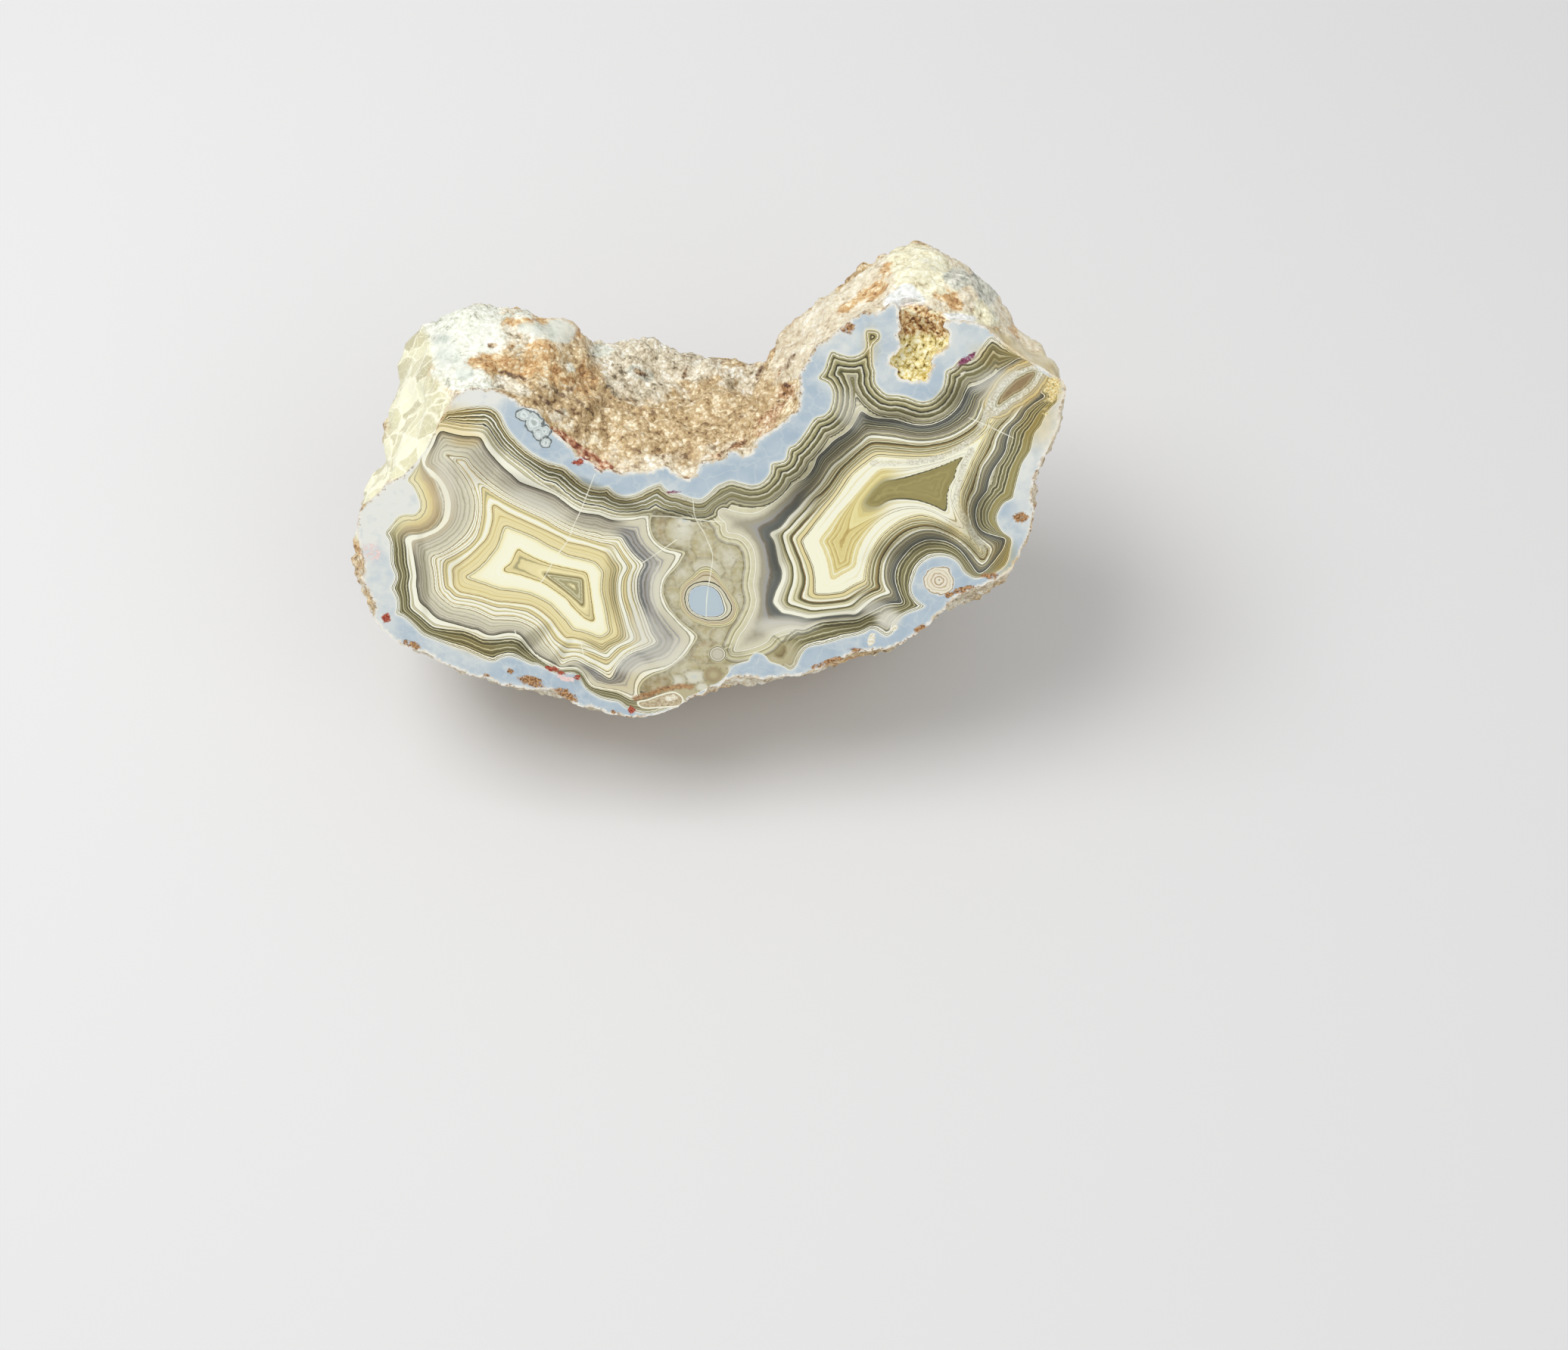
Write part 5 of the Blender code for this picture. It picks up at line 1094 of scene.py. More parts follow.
def saw(fine, place):
    """Cuts the stone along the face's plane and drops the front."""
    cut = bmesh.new()
    cut.from_mesh(fine)
    everything = list(cut.verts) + list(cut.edges) + list(cut.faces)
    bmesh.ops.bisect_plane(cut, geom=everything, dist=PLANE_SNAP / 4, plane_co=NORMAL * place[2] * MM,
                           plane_no=NORMAL, clear_outer=True)
    rim = [v for v in cut.verts if v.is_boundary]
    bmesh.ops.remove_doubles(cut, verts=rim, dist=RIM_WELD * MM)
    bmesh.ops.triangulate(cut, faces=cut.faces)
    loose = [v for v in cut.verts if not v.link_faces]
    bmesh.ops.delete(cut, geom=loose, context="VERTS")
    return cut


def rim_rings(cut):
    """The closed loops of open edges, longest first, as lists of vertex numbers."""
    cut.verts.index_update()
    following = {}
    for edge in cut.edges:
        if edge.is_boundary:
            loop = edge.link_loops[0]
            following[loop.link_loop_next.vert.index] = loop.vert.index
    rings = []
    while following:
        here, ring = next(iter(following)), []
        while here in following:
            ring.append(here)
            here = following.pop(here)
        rings.append(ring)
    return sorted(rings, key=len, reverse=True)


def face_grid(outline):
    """Spots of a triangular grid inside an outline, a little away from it."""
    low, high = outline.min(0), outline.max(0)
    rows = np.arange(low[1], high[1], FACE_STEP * sqrt(0.75))
    columns = np.arange(low[0], high[0], FACE_STEP)
    grid = np.array([(u + (k % 2) * FACE_STEP / 2, v) for k, v in enumerate(rows) for u in columns])
    return grid[distance_inside(grid, outline) > RIM_GAP]


def fill_face(cut, place):
    """Fills the sawn opening with small triangles. Returns all points, the triangles and the face's part."""
    rings = rim_rings(cut)
    points = np.array([v.co[:] for v in cut.verts])
    spots = to_face(points, place)[:, :2]
    outline = spots[rings[0]]
    grid = face_grid(outline)
    rim = np.concatenate(rings)
    flat = np.concatenate([spots[rim], grid])
    edges, first = [], 0
    for ring in rings:
        edges += [(first + k, first + (k + 1) % len(ring)) for k in range(len(ring))]
        first += len(ring)
    made = delaunay_2d_cdt([Vector(p) for p in flat], edges, [], 0, 1e-6, True)
    numbered = np.array([min(source) for source in made[3]])
    triangles = numbered[np.array(made[2])]
    on_rim = np.all(triangles < len(rim), axis=1)
    keep = ~on_rim
    keep[on_rim] = distance_inside(flat[triangles[on_rim]].mean(1), outline) > 0
    names = np.concatenate([rim, len(points) + np.arange(len(grid))])
    inner = from_face(np.column_stack([grid, np.zeros(len(grid))]), place)
    return np.concatenate([points, inner]), names[triangles[keep]], names


# What the materials are told at each vertex

def tell_vertices(piece, names, values):
    """Stores one number for each of the named vertices as a mesh attribute, 0 on the others."""
    for name, found in values.items():
        full = np.zeros(len(piece.vertices))
        full[names] = found
        piece.attributes.new(name, "FLOAT", "POINT").data.foreach_set("value", full)


def lump_numbers(spots):
    """The tone of the topmost lump at each spot, and how near it is to that lump's outline."""
    shade = np.full(len(spots), LUMP_GROUND)
    line = np.zeros(len(spots))
    wobble = np.array([noise.noise(Vector((u * 0.6, v * 0.6, 3))) for u, v in spots]) * LUMP_WOBBLE
    for *oval, own in LUMPS:
        size = oval_size(spots, *oval) + wobble
        cover = np.clip((1 - size) / LUMP_EDGE, 0, 1)
        shade = shade + (own + LUMP_DOME * (0.6 - size) - shade) * cover
        line = line * (1 - cover) + np.clip(1 - np.abs(size - 1) / LUMP_LINE, 0, 1)
    return shade, np.clip(line, 0, 1)


def crack_numbers(spots):
    """The nearest crack's signed distance, and 1 beside the crack but 0 past its ends."""
    nearest = np.full(len(spots), FAR)
    beside = np.zeros(len(spots))
    for line in CRACKS:
        points = np.array(line, float)
        for start, end in zip(points[:-1], points[1:]):
            side = end - start
            length = np.hypot(*side)
            offset = spots - start
            share = (offset @ side) / length**2
            across = (offset[:, 0] * side[1] - offset[:, 1] * side[0]) / length
            gap = np.hypot(across, np.maximum(np.maximum(-share, share - 1), 0) * length)
            closer = gap < np.abs(nearest)
            nearest = np.where(closer, np.copysign(gap, across), nearest)
            beside = np.where(closer, (share > -0.02) & (share < 1.02), beside)
    return nearest, beside


def face_numbers(spots, rim_reach):
    """Everything that the face's material needs to know about each spot of the cut face."""
    u, v = spots[:, 0], spots[:, 1]
    found = {"face_u": u, "face_v": v, "rim_reach": rim_reach}
    found["left"], found["in_left"] = nested_level(spots, LEFT_RINGS, LEFT_SKINS, CORE_SPAN)
    found["right"], found["in_right"] = nested_level(spots, RIGHT_RINGS, RIGHT_SKINS, CORE_SPAN)
    found["eye"], found["in_eye"] = nested_level(spots, EYE_RINGS, EYE_SKINS, EYE_SPAN)
    past = distance_inside(spots, smooth_ring(BORDER))
    lobe_gap = np.minimum(-found["in_left"], -found["in_right"])
    inner = np.maximum(np.minimum(lobe_gap, STRIPES_WIDTH - past), 0.02)
    stripes = 1 + between(past, inner, STRIPE_SKIN)
    border = between(rim_reach, np.maximum(-past, 0), BORDER_SKIN)
    found["edge"] = np.where(past > 0, stripes, border)
    found["lump"], found["lump_line"] = lump_numbers(spots)
    found["crack"], found["crack_side"] = crack_numbers(spots)
    found["tube"] = np.hypot(u - TUBE_PLACE[0], v - TUBE_PLACE[1])
    found["orb"] = np.hypot(u - ORB_PLACE[0], v - ORB_PLACE[1])
    found["bubble"] = np.min([np.hypot(u - at, v - up) / size for at, up, size in BUBBLES], axis=0)
    found["slit"] = -distance_inside(spots, smooth_ring(SLIT))
    found["finger"] = distance_inside(spots, smooth_ring(FINGER))
    found["sugar"] = line_gap(spots, SUGAR_LINES)
    found["rusty"] = line_gap(spots, RUSTY_LINES)
    for name, ovals in FACE_OVALS.items():
        found[name] = tone(spots, ovals)
    return found


def rind_numbers(points, triangles, place):
    """Everything that the rind's material needs to know about each vertex."""
    found = patch_numbers(points, triangles.tolist(), place, {**RIND_SURFACES, **RIND_PATCHES})
    spots = to_face(points, place)
    found["pit"] = pit_numbers(spots)
    found["pit_top"] = np.clip((spots[:, 1] - PIT_TOP) / 2, 0, 1)
    return {"rind_" + name: value for name, value in found.items()}


# Nodes of a material

class Value:
    """What a node puts out. Plus, minus and times make Math nodes."""

    def __init__(self, look, socket):
        self.look = look
        self.socket = socket

    def __add__(self, other):
        return self.look.math("ADD", self, other)

    def __radd__(self, other):
        return self.look.math("ADD", other, self)

    def __sub__(self, other):
        return self.look.math("SUBTRACT", self, other)

    def __rsub__(self, other):
        return self.look.math("SUBTRACT", other, self)

    def __mul__(self, other):
        return self.look.math("MULTIPLY", self, other)

    def held(self):
        """The same value, held between 0 and 1 by its Math node."""
        self.socket.node.use_clamp = True
        return self


class Look:
    """A material's nodes, with short calls for the kinds that are needed."""

    def __init__(self, name):
        self.material = bpy.data.materials.new(name)
        self.material.use_nodes = True
        self.tree = self.material.node_tree
        self.tree.nodes.clear()

    def node(self, kind, **settings):
        made = self.tree.nodes.new("ShaderNode" + kind)
        for name, value in settings.items():
            setattr(made, name, value)
        return made

    def feed(self, socket, value):
        """Links a value to a socket, or sets the socket's own value."""
        if isinstance(value, Value):
            self.tree.links.new(value.socket, socket)
        else:
            socket.default_value = value

    def filled(self, made, inputs, output=0):
        """Feeds some inputs of a node, given by name or number, and gives one of its outputs."""
        for name, value in inputs.items():
            self.feed(made.inputs[name], value)
        return Value(self, made.outputs[output])

    def told(self, name):
        return self.filled(self.node("Attribute", attribute_name=name), {}, "Fac")

    def math(self, operation, first, second=0.0):
        return self.filled(self.node("Math", operation=operation), {0: first, 1: second})

    def vector(self, operation, first, second, socket=1):
        return self.filled(self.node("VectorMath", operation=operation), {0: first, socket: second})

    def scaled(self, first, amount):
        return self.vector("SCALE", first, amount, "Scale")

    def larger(self, first, second):
        return self.math("MAXIMUM", first, second)

    def mix(self, factor, first, second, blend="MIX"):
        made = self.node("Mix", data_type="RGBA", blend_type=blend, clamp_factor=True)
        return self.filled(made, {0: factor, 6: first, 7: second}, 2)

    def blend_number(self, factor, first, second):
        made = self.node("Mix", data_type="FLOAT", clamp_factor=True)
        return self.filled(made, {0: factor, 2: first, 3: second})

    def span(self, value, low, high, to_low=0.0, to_high=1.0, smooth=False):
        """Maps a range onto another one, held at its ends."""
        made = self.node("MapRange", clamp=True, interpolation_type="SMOOTHSTEP" if smooth else "LINEAR")
        return self.filled(made, {"Value": value, "From Min": low, "From Max": high,
                                  "To Min": to_low, "To Max": to_high}, "Result")

    def ramp(self, factor, stops):
        """A colour ramp from a list of (place, colour), with places from 0 to 1."""
        made = self.node("ValToRGB")
        elements = made.color_ramp.elements
        while len(elements) > 1:
            elements.remove(elements[-1])
        for k, (place, colour) in enumerate(stops):
            item = elements[0] if k == 0 else elements.new(place)
            item.position = place
            item.color = colour
        return self.filled(made, {0: factor})

    def even(self, factor, colours):
        """Colours spread evenly over nearly the whole of 0 to 1, blending into each other."""
        last = len(colours) - 1
        return self.ramp(factor, [(0.04 + 0.92 * k / last, colour) for k, colour in enumerate(colours)])

    def bands(self, level, plan, soft):
        """Paints a list of bands, in as many ramps as they need."""
        colour = None
        for first in range(0, max(len(plan) - 1, 1), BANDS_A_RAMP):
            part = plan[first:first + BANDS_A_RAMP + 1]
            low, high = part[0][0], max(part[-1][0], part[0][0] + 0.01) + 10 * soft
            stops = [((place - low) / (high - low), shade) for place, shade in band_stops(part, soft)]
            here = self.ramp(self.span(level, low, high), stops)
            colour = here if colour is None else self.mix(self.span(level, low - soft, low), colour, here)
        return colour

    def noise(self, at, scale, detail=2.0, rough=0.5):
        made = self.node("TexNoise")
        return self.filled(made, {"Vector": at, "Scale": scale, "Detail": detail, "Roughness": rough}, "Fac")

    def noise_along(self, level, scale):
        """Noise that changes with one number only, so it makes lines along the bands."""
        made = self.node("TexNoise", noise_dimensions="1D")
        return self.filled(made, {"W": level, "Scale": scale, "Detail": 2.0, "Roughness": 0.5}, "Fac")

    def wander(self, at, scale, amount, detail=2.0, rough=0.5):
        """Noise that swings round 0, over a range of this amount."""
        return (self.noise(at, scale, detail, rough) - 0.5) * amount

    def shaken(self, at, scale, amount):
        """The place moved a little by noise, so that what follows it runs unevenly."""
        moved = self.filled(self.node("TexNoise"), {"Vector": at, "Scale": scale}, "Color")
        centred = self.vector("SUBTRACT", moved, (0.5, 0.5, 0.5))
        return self.vector("ADD", at, self.scaled(centred, amount))

    def spot(self):
        """The spot on the cut face, in millimetres."""
        return self.filled(self.node("CombineXYZ"), {0: self.told("face_u"), 1: self.told("face_v")})

    def body(self):
        """The place in the stone, in millimetres."""
        return self.scaled(self.filled(self.node("TexCoord"), {}, "Object"), 1 / MM)

    def drawn_out(self, turn, size):
        """The place in the stone, counted in lengths along a turned direction and in widths across it."""
        made = self.node("Mapping", vector_type="TEXTURE")
        return self.filled(made, {"Vector": self.body(), "Rotation": (0, radians(-turn), 0),
                                  "Scale": (size[0], size[0] / 2, size[1])})

    def streaks(self, turn, size):
        """Noise drawn out along a direction seen from the front, turned by some degrees."""
        return self.noise(self.drawn_out(turn, size), 1, 3)

    def cells(self, at, size):
        """Grains: how far it is from a grain's middle, and a number that differs from grain to grain."""
        made = self.node("TexVoronoi", feature="F1")
        distance = self.filled(made, {"Vector": at, "Scale": 1 / size}, "Distance")
        own = self.filled(self.node("SeparateColor"), {0: Value(self, made.outputs["Color"])})
        return distance, own

    def seams(self, at, size):
        """How far it is to the nearest seam between cells."""
        made = self.node("TexVoronoi", feature="DISTANCE_TO_EDGE")
        return self.filled(made, {"Vector": at, "Scale": 1 / size}, "Distance")

    def finish(self, **inputs):
        """Puts a principled shader with these inputs on the material's output."""
        shader = self.node("BsdfPrincipled")
        shine = self.filled(shader, {name.replace("_", " "): value for name, value in inputs.items()})
        self.feed(self.node("OutputMaterial").inputs["Surface"], shine)
        return self.material


def band_stops(part, soft):
    """A ramp's stops for some bands. Each edge is a short blend, never wider than its bands allow."""
    stops = []
    blend = 0
    for k, band in enumerate(part):
        stops.append((band[0] + blend, band[1]))
        if k + 1 < len(part):
            end = part[k + 1][0]
            half = min(soft, (end - band[0]) * BAND_BLEND)
            blend = min(half, (part[k + 2][0] - end) * BAND_BLEND) if k + 2 < len(part) else half
            stops.append((end - half, band[-1]))
    return stops


# The polished cut face

def left_lobe(look, level, u, v):
    """The left lobe, with other bands on its east side and a white arc beside the tongue."""
    east = look.span(u - v * LOBE_LEAN, 25, 28, smooth=True)
    colour = look.mix(east, look.bands(level, LEFT_WEST, LINE_SOFT), look.bands(level, LEFT_EAST, LINE_SOFT))
    arc = look.told("arc_zone")
    colour = look.mix(arc * look.span(level, 0.5, 0.44), colour, WHITE)
    beyond = look.span(level, 0.93, 1.0) * look.span(level, 1.4, 1.1)
    return look.mix(arc * beyond, colour, ARC_TAN)


def right_lobe(look, level, u, v):
    """The right lobe, with other bands on its upper side. In its core they part further to the left."""
    upper = look.span(u + v * 0.5, 74, 79, smooth=True)
    core_upper = look.span(u - v * LOBE_LEAN, 59.5, 63.5, smooth=True)
    upper = look.blend_number(look.span(level, 4.86, 4.94), upper, core_upper)
    lower_bands = look.bands(level, RIGHT_LOWER, LINE_SOFT)
    return look.mix(upper, lower_bands, look.bands(level, RIGHT_UPPER, LINE_SOFT))


def middle_colours(look, spot):
    """The cloudy lumps between the lobes, with the bands beside the right lobe."""
    colour = look.bands(look.told("lump") + look.wander(spot, 0.4, 0.15, 3), LUMP_TONES, 0.04)
    colour = look.mix(look.told("lump_line") * 0.75, colour, LUMP_OUTLINE)
    near_right = look.bands(look.told("in_right") * -1, BESIDE_RIGHT, 0.05)
    colour = look.mix(look.span(look.told("in_right"), -2.4, -1.6), colour, near_right)
    return look.mix(look.span(look.told("in_left"), -0.9, 0.0, 0, 0.75), colour, BESIDE_LEFT)


def crystal_bands(look, colour, spot):
    """The brown slit of the feather with its rings, and the bands of fine crystals."""
    grains = look.span(look.noise(spot, 3.2, 3, 0.7), 0.36, 0.64)
    bend = look.wander(spot, 0.9, 0.5, 3)
    slit = look.told("slit") + bend
    colour = look.mix(look.span(slit, 2.3, 1.7), colour, look.bands(slit, SLIT_BANDS, 0.05))
    ring = look.span(slit, 0.3, 0.45) * look.span(slit, 1.05, 0.9)
    line = look.span(look.told("sugar") + bend, SUGAR_REACH + 0.1, SUGAR_REACH - 0.1)
    broken = look.span(look.noise(spot, 0.5, 3), 0.35, 0.55, 0.3, 0.9)
    return look.mix(look.larger(ring, line * broken), colour, look.mix(grains, CRYSTAL_DARK, CRYSTAL_PALE))


def fine_lines(look, colour, level, spot):
    """Very fine lighter and darker lines along the bands."""
    strength = look.span(look.noise(spot, 0.3, 2), 0.35, 0.65, 0.15, 0.55)
    grey = look.span(look.noise_along(level, FINE_LINES), 0.25, 0.75, 0.2, 0.8)
    return look.mix(strength, colour, grey, blend="SOFT_LIGHT")


def border_colours(look, spot):
    """The pale blue outer layer: cloudy facets with pale seams, white in places, with a crust at the rim."""
    edge = look.math("MINIMUM", look.told("edge"), 1.0)
    colour = look.bands(edge, BORDER_BANDS, 0.03)
    colour = look.mix(look.span(look.noise(spot, 0.35, 3), 0.4, 0.7, 0, 0.5), colour, BORDER_DEEP)
    haze = look.noise(look.shaken(spot, 0.5, 1.5), 0.22, 4, 0.6)
    colour = look.mix(look.span(haze, 0.52, 0.68, 0, 0.65), colour, BORDER_PALE)
    seams = look.seams(look.shaken(spot, 0.8, 1.6), 3.6)
    colour = look.mix(look.span(seams, 0.0, 0.04, 0.35, 0), colour, BORDER_PALE)
    pale = look.told("border_white") * look.span(look.noise(spot, 0.6, 4), 0.3, 0.6, 0.45, 1.0)
    return rim_crust(look, look.mix(pale, colour, BORDER_MILKY), spot)


def rim_crust(look, colour, spot):
    """A pale crumbly crust along the rim, with brown chips in places."""
    reach = look.told("rim_reach")
    crust = look.span(reach, 0.0, 1.1, 1, 0) - look.noise(spot, 1.6, 4) * 1.15
    crust_colour = look.mix(look.span(look.noise(spot, 0.5, 4), 0.5, 0.68), CRUST, CRUST_TAN)
    colour = look.mix(look.span(crust, 0.0, 0.25), colour, crust_colour)
    chips = look.span(reach + look.noise(spot, 1.3, 5, 0.65) * 2.4, 1.45, 1.15)
    chips = chips * look.span(look.noise(spot, 0.16, 2), 0.45, 0.55)
    grains = look.span(look.noise(spot, 2.6, 4, 0.65), 0.36, 0.62)
    return look.mix(chips, colour, look.mix(grains, CHIP_DARK, CHIP_PALE))


def single_features(look, colour, spot):
    """The swirl, the bubbles, the rusty line, the finger at the lower rim and the orb."""
    swirl = look.told("tube") + look.wander(spot, 0.55, 1.5, 3)
    cover = look.span(swirl, TUBE_REACH, TUBE_REACH - 0.05)
    colour = look.mix(cover, colour, look.bands(swirl, TUBE_BANDS, 0.03))
    # The bubbles: glassy grey with painted shading, pale inside and a dark ring at the edge
    bubble = look.told("bubble") + look.wander(spot, 0.9, 1.3, 4, 0.6)
    colour = look.mix(look.span(bubble, 1.15, 1.05), colour, look.bands(bubble, BUBBLE_TONE_AND_SHADING, 0.08))
    grains = look.span(look.noise(spot, 2.4, 4, 0.65), 0.35, 0.65)
    rusty = look.span(look.told("rusty") + look.wander(spot, 1.4, 0.8, 4), 0.55, 0.2, 0, 0.85)
    colour = look.mix(rusty, colour, look.mix(grains, RUSTY_DARK, RUSTY_PALE))
    finger = look.told("finger")
    filling = look.mix(look.span(finger, 0.16, 0.24), WHITE, look.mix(grains, FINGER_DARK, FINGER_PALE))
    colour = look.mix(look.span(finger, -0.04, 0.02), colour, filling)
    orb = look.told("orb")
    return look.mix(look.span(orb, 1.28, 1.2), colour, look.bands(orb, ORB_BANDS, 0.04))


def face_colours(look, spot):
    """The bands, the cloudy middle and the border, before any stains."""
    shake = look.wander(spot, 1.3, LEVEL_SHAKE, 3)
    left, edge, eye = (look.told(name) + shake for name in ("left", "edge", "eye"))
    right = look.told("right")
    right = right + shake * look.span(right, 4.85, 4.98, 1, 0.2)
    edge = look.math("MINIMUM", edge, 2.0)
    in_left, in_right = look.told("in_left"), look.told("in_right")
    u, v = look.told("face_u"), look.told("face_v")
    stripes = look.bands(edge, STRIPES_LEFT, STRIPE_SOFT)
    for name, (plan, _) in STRIPE_ZONES.items():
        stripes = look.mix(look.told(name), stripes, look.bands(edge, plan, STRIPE_SOFT))
    wide = look.larger(look.span(edge, 1.93, 1.99), look.told("calm_zone") * look.span(edge, 1.0, 1.06))
    colour = look.mix(wide, stripes, middle_colours(look, spot))
    colour = look.mix(look.span(in_right, -0.05, 0.0), colour, right_lobe(look, right, u, v))
    colour = look.mix(look.span(in_left, -0.05, 0.0), colour, left_lobe(look, left, u, v))
    in_eye = look.span(look.told("in_eye"), -0.1, 0.0)
    colour = look.mix(in_eye, colour, look.bands(eye, EYE_BANDS, LINE_SOFT))
    colour = crystal_bands(look, colour, spot)
    plain = wide * look.span(look.larger(in_left, in_right), -0.05, 0, 1, 0)
    lined = fine_lines(look, colour, left + right * 1.37 + edge * 1.71, spot)
    colour = look.mix(plain, lined, colour)
    colour = look.mix(look.span(edge, 0.98, 1.02), border_colours(look, spot), colour)
    return single_features(look, colour, spot)


def tinted(look, colour):
    """Slow changes of tone over the bands."""
    for name, (tint, blend, _) in TINTS.items():
        colour = look.mix(look.told(name), colour, tint, blend)
    return colour


def cracked(look, colour, spot):
    """Thin pale cracks across the bands."""
    line = look.span(look.math("ABSOLUTE", look.told("crack")), 0.03, 0.11, 1, 0)
    strength = look.span(look.noise(spot, 0.7, 3), 0.3, 0.6, 0.35, 0.85)
    return look.mix(line * look.told("crack_side") * strength, colour, WHITE)


def stained(look, colour, spot):
    """Rust, chips and other spots with ragged outlines."""
    ragged = look.wander(spot, 1.5, 2.2, 5, 0.65)
    speckle = look.span(look.noise(spot, 3.5, 3), 0.38, 0.62)
    for name, (dark, light, _) in STAINS.items():
        near = look.told(name)
        cover = look.span(near + ragged * look.span(near, 0, 0.3), 0.5, 0.85)
        colour = look.mix(cover, colour, look.mix(speckle, dark, light))
    return colour


def face_look():
    """The polished cut face."""
    look = Look("polished_face")
    spot = look.spot()
    colour = stained(look, cracked(look, tinted(look, face_colours(look, spot)), spot), spot)
    polish = look.span(look.noise(spot, 0.12, 4), 0.3, 0.7, 0.16, 0.27)
    return look.finish(Base_Color=colour, Roughness=polish)


# The rough rind

def grain_tone(look, body, own):
    """A number from dark to light that differs from grain to grain and drifts over the stone."""
    fine = look.wander(body, 0.9, 2.2, 6, 0.7)
    broad = look.wander(body, 0.22, 0.7, 3)
    blotches = look.wander(body, 0.4, 1.2, 5, 0.6)
    drawn = (look.streaks(STREAK_TURN, (2.6, 0.5)) - 0.5) * 0.6
    grain = (own - 0.5) * 0.5
    return (fine + broad + (grain + (blotches + drawn)) + 0.56).held()


def rind_tone(look, value, name):
    """One kind of surface, from its gaps to its brightest grains."""
    return look.even(value, [display(*colour) for colour in RIND_TONES[name]])


def rind_colours(look, body, grain):
    """The rind's kinds of surface, painted one over another with ragged edges."""
    ragged = look.wander(body, 0.5, 1.5, 5, 0.6)
    streaked = grain * 0.5 + look.span(look.streaks(STREAK_TURN, (3.2, 0.55)), 0.3, 0.7, 0, 0.5)
    slanted = grain * 0.6 + look.span(look.streaks(STREAK_TURN + 75, (3.0, 0.5)), 0.3, 0.7, 0, 0.4)
    colour = rind_tone(look, grain, "saddle")
    for name, size, low in RIND_DRIFTS:
        drift = look.noise(look.shaken(body, 0.2, 3), size, 4)
        colour = look.mix(look.span(drift, low, low + 0.06), colour, rind_tone(look, grain, name))
    for name in RIND_PATCHES:
        value = {"grey": streaked, "slope": slanted}.get(name, grain)
        cover = look.span(look.told("rind_" + name) + ragged, 0.38, 0.62)
        colour = look.mix(cover, colour, rind_tone(look, value, name))
    colour = look.mix(look.span(look.told("rind_wall"), 0.2, 0.6), colour, wall_colours(look))
    cloud = look.span(look.noise(body, 0.45, 5, 0.6), 0.3, 0.7)
    glassy = look.span(look.told("rind_glass") + ragged * 0.8, 0.35, 0.75, 0, 0.9)
    colour = look.mix(glassy, colour, rind_tone(look, cloud, "glass"))
    ribbon = rind_tone(look, look.noise(body, 0.5, 4), "ribbon")
    return look.mix(look.span(look.told("rind_ribbon"), 0.35, 0.6), colour, ribbon)


def wall_colours(look):
    """The crackled wall: facets with pale veins between them."""
    along = look.shaken(look.drawn_out(WALL_TURN, WALL_FACET), 1.2, 0.6)
    across = look.shaken(look.drawn_out(-40, WALL_FACET), 1.5, 0.5)
    veins = look.larger(look.span(look.seams(along, 1), 0, 0.07, 1, 0),
                        look.span(look.seams(across, 0.5), 0, 0.05, 0.6, 0))
    return look.mix(veins, rind_tone(look, look.cells(along, 1)[1], "wall"), WALL_VEIN)


def pit_colours(look, body, colour):
    """The pit's golden grains, darker in the gaps between them as painted shade, rusty and dark at its top,
    and how far they stand out.
    """
    apart, own = look.cells(body, PIT_GRAIN_SIZE)
    fine = look.noise(body, 1.4, 5, 0.7)
    # Painted shade: the grains' tone falls towards their edges and where the fine noise is low, as their
    # height does, so the gaps between them are darker
    shade = (own * 0.45 + fine * 3.0 - (apart * 0.6 + 0.82)).held()
    rust = look.span(look.told("rind_pit_top") + (look.noise(body, 0.6, 4) - 0.5), 0.3, 0.7)
    grains = look.mix(rust, rind_tone(look, shade, "pit"), rind_tone(look, shade, "pit_top"))
    return look.mix(look.told("rind_pit"), colour, grains), (fine * 0.7 - apart) * 2


def rind_look():
    """Grains of many tones, darkened in the gaps between them as painted shade, with crackled, glassy and
    rusty parts, and the golden pit.
    """
    look = Look("rind")
    body = look.body()
    apart, own = look.cells(body, GRAIN_SIZE)
    calm = look.larger(look.larger(look.told("rind_wall"), look.told("rind_glass")), look.told("rind_ribbon"))
    rough = 1 - look.larger(calm, look.told("rind_mild")) * 0.9
    colour = rind_colours(look, body, grain_tone(look, body, own))
    # Painted shade: the colour darkens towards each grain's edge, in the gaps that the bump below makes low
    colour = look.mix(look.span(apart, 0.4, 0.9, 0, 0.35) * rough, colour, GAP_SHADE, blend="MULTIPLY")
    colour, pit_height = pit_colours(look, body, colour)
    height = (look.noise(body, 1.1, 6, 0.65) - apart) * rough
    height = look.blend_number(look.told("rind_pit"), height, pit_height)
    relief = {"Strength": BUMP_STRENGTH, "Distance": BUMP_RISE * MM, "Height": height}
    bump = look.filled(look.node("Bump"), relief)
    return look.finish(Base_Color=colour, Roughness=0.3 + rough * look.span(own, 0, 1, 0.2, 0.5), Normal=bump)


# The finished stone

def stone_shape():
    """The closed stone: its points, its triangles, which of them are sawn, the face's points and the rim."""
    solid, place = read_solid(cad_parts["agate_half"])
    fine = fine_mesh(solid)
    roughen(fine, place)
    cut = saw(thin_out(fine, place), place)
    points, sawn, names = fill_face(cut, place)
    rim = rim_rings(cut)[0]
    rind = np.array([[v.index for v in f.verts] for f in cut.faces])
    kind = np.concatenate([np.zeros(len(rind), int), np.ones(len(sawn), int)])
    return points, np.concatenate([rind, sawn]), kind, names, rim, place


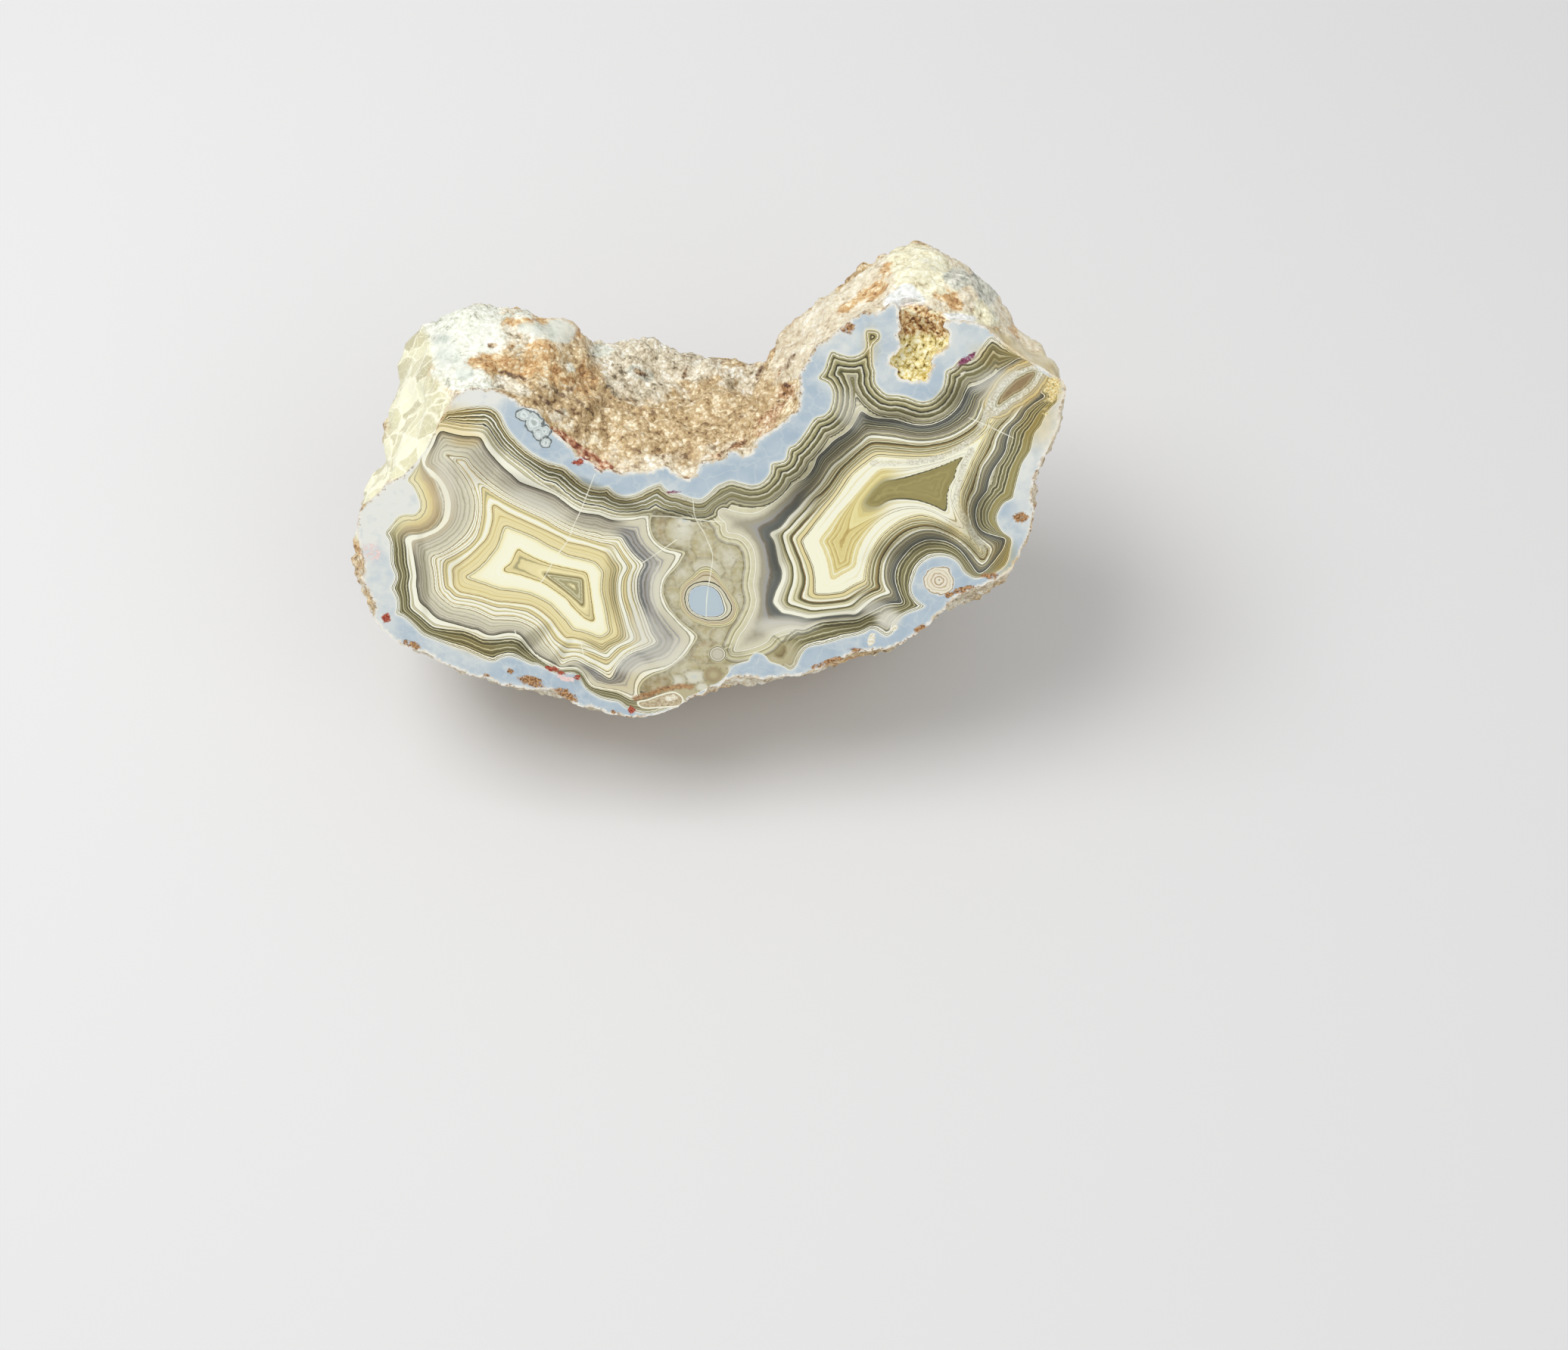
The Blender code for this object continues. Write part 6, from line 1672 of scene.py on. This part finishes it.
def sharpen_rim(mesh, kind):
    """Smooth shading everywhere but on the sawn edge."""
    mesh.shade_smooth()
    counts = np.zeros((len(mesh.edges), 2), int)
    edge_of = numbers(mesh.loops, "edge_index", 1, np.int32)
    np.add.at(counts, (edge_of, np.repeat(kind, 3)), 1)
    sharp = (counts[:, 0] > 0) & (counts[:, 1] > 0)
    mesh.attributes.new("sharp_edge", "BOOLEAN", "EDGE").data.foreach_set("value", sharp)


def added(name, data):
    """A new object in the scene."""
    item = bpy.data.objects.new(name, data)
    bpy.context.scene.collection.objects.link(item)
    return item


def build_stone():
    """The whole stone as one closed piece with its two materials. Returns the place of its face."""
    points, triangles, kind, names, rim, place = stone_shape()
    mesh = bpy.data.meshes.new("agate_half_stone")
    mesh.from_pydata(points.tolist(), [], triangles.tolist())
    mesh.polygons.foreach_set("material_index", kind)
    mesh.materials.append(rind_look())
    mesh.materials.append(face_look())
    spots = to_face(points, place)[:, :2]
    rim_reach = distance_inside(spots[names], spots[rim])
    tell_vertices(mesh, names, face_numbers(spots[names], np.maximum(rim_reach, 0)))
    tell_vertices(mesh, np.arange(len(points)), rind_numbers(points, triangles, place))
    mesh.update()
    sharpen_rim(mesh, kind)
    piece = added("agate_half_stone", mesh)
    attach(piece, "root")
    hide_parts("agate_half")
    return place


# Floor, light and camera

def set_floor():
    corners = [(-1, -1), (1, -1), (1, 1), (-1, 1)]
    mesh = bpy.data.meshes.new("floor")
    mesh.from_pydata([(x * FLOOR_REACH, y * FLOOR_REACH, 0) for x, y in corners], [], [(0, 1, 2, 3)])
    mesh.materials.append(Look("floor").finish(Base_Color=display(0.86, 0.86, 0.86), Roughness=0.8))
    floor = added("floor", mesh)


def set_lights():
    world = bpy.data.worlds.new("studio")
    world.use_nodes = True
    background = world.node_tree.nodes["Background"]
    background.inputs["Color"].default_value = (1, 1, 1, 1)
    background.inputs["Strength"].default_value = WORLD_STRENGTH
    bpy.context.scene.world = world
    for name, spot, size, power in LAMPS:
        light = bpy.data.lights.new(name, "AREA")
        light.size = size
        light.energy = power
        lamp = added(name, light)
        lamp.location = spot
        lamp.rotation_euler = (Vector(LAMP_AIM) - Vector(spot)).to_track_quat("-Z", "Y").to_euler()


def set_camera(place):
    """The camera at the photograph's viewpoint."""
    camera = added("camera", bpy.data.cameras.new("camera"))
    camera.data.lens = LENS_MM
    camera.data.sensor_width = SENSOR_MM
    camera.data.clip_start = 0.01
    camera.location = from_face(np.array([EYE_PLACE]), place)[0]
    camera.rotation_euler = (radians(90) - CAMERA_PITCH, 0, 0)
    bpy.context.scene.camera = camera
    bpy.context.scene.view_settings.view_transform = "Standard"


face_place = build_stone()
set_floor()
set_lights()
set_camera(face_place)
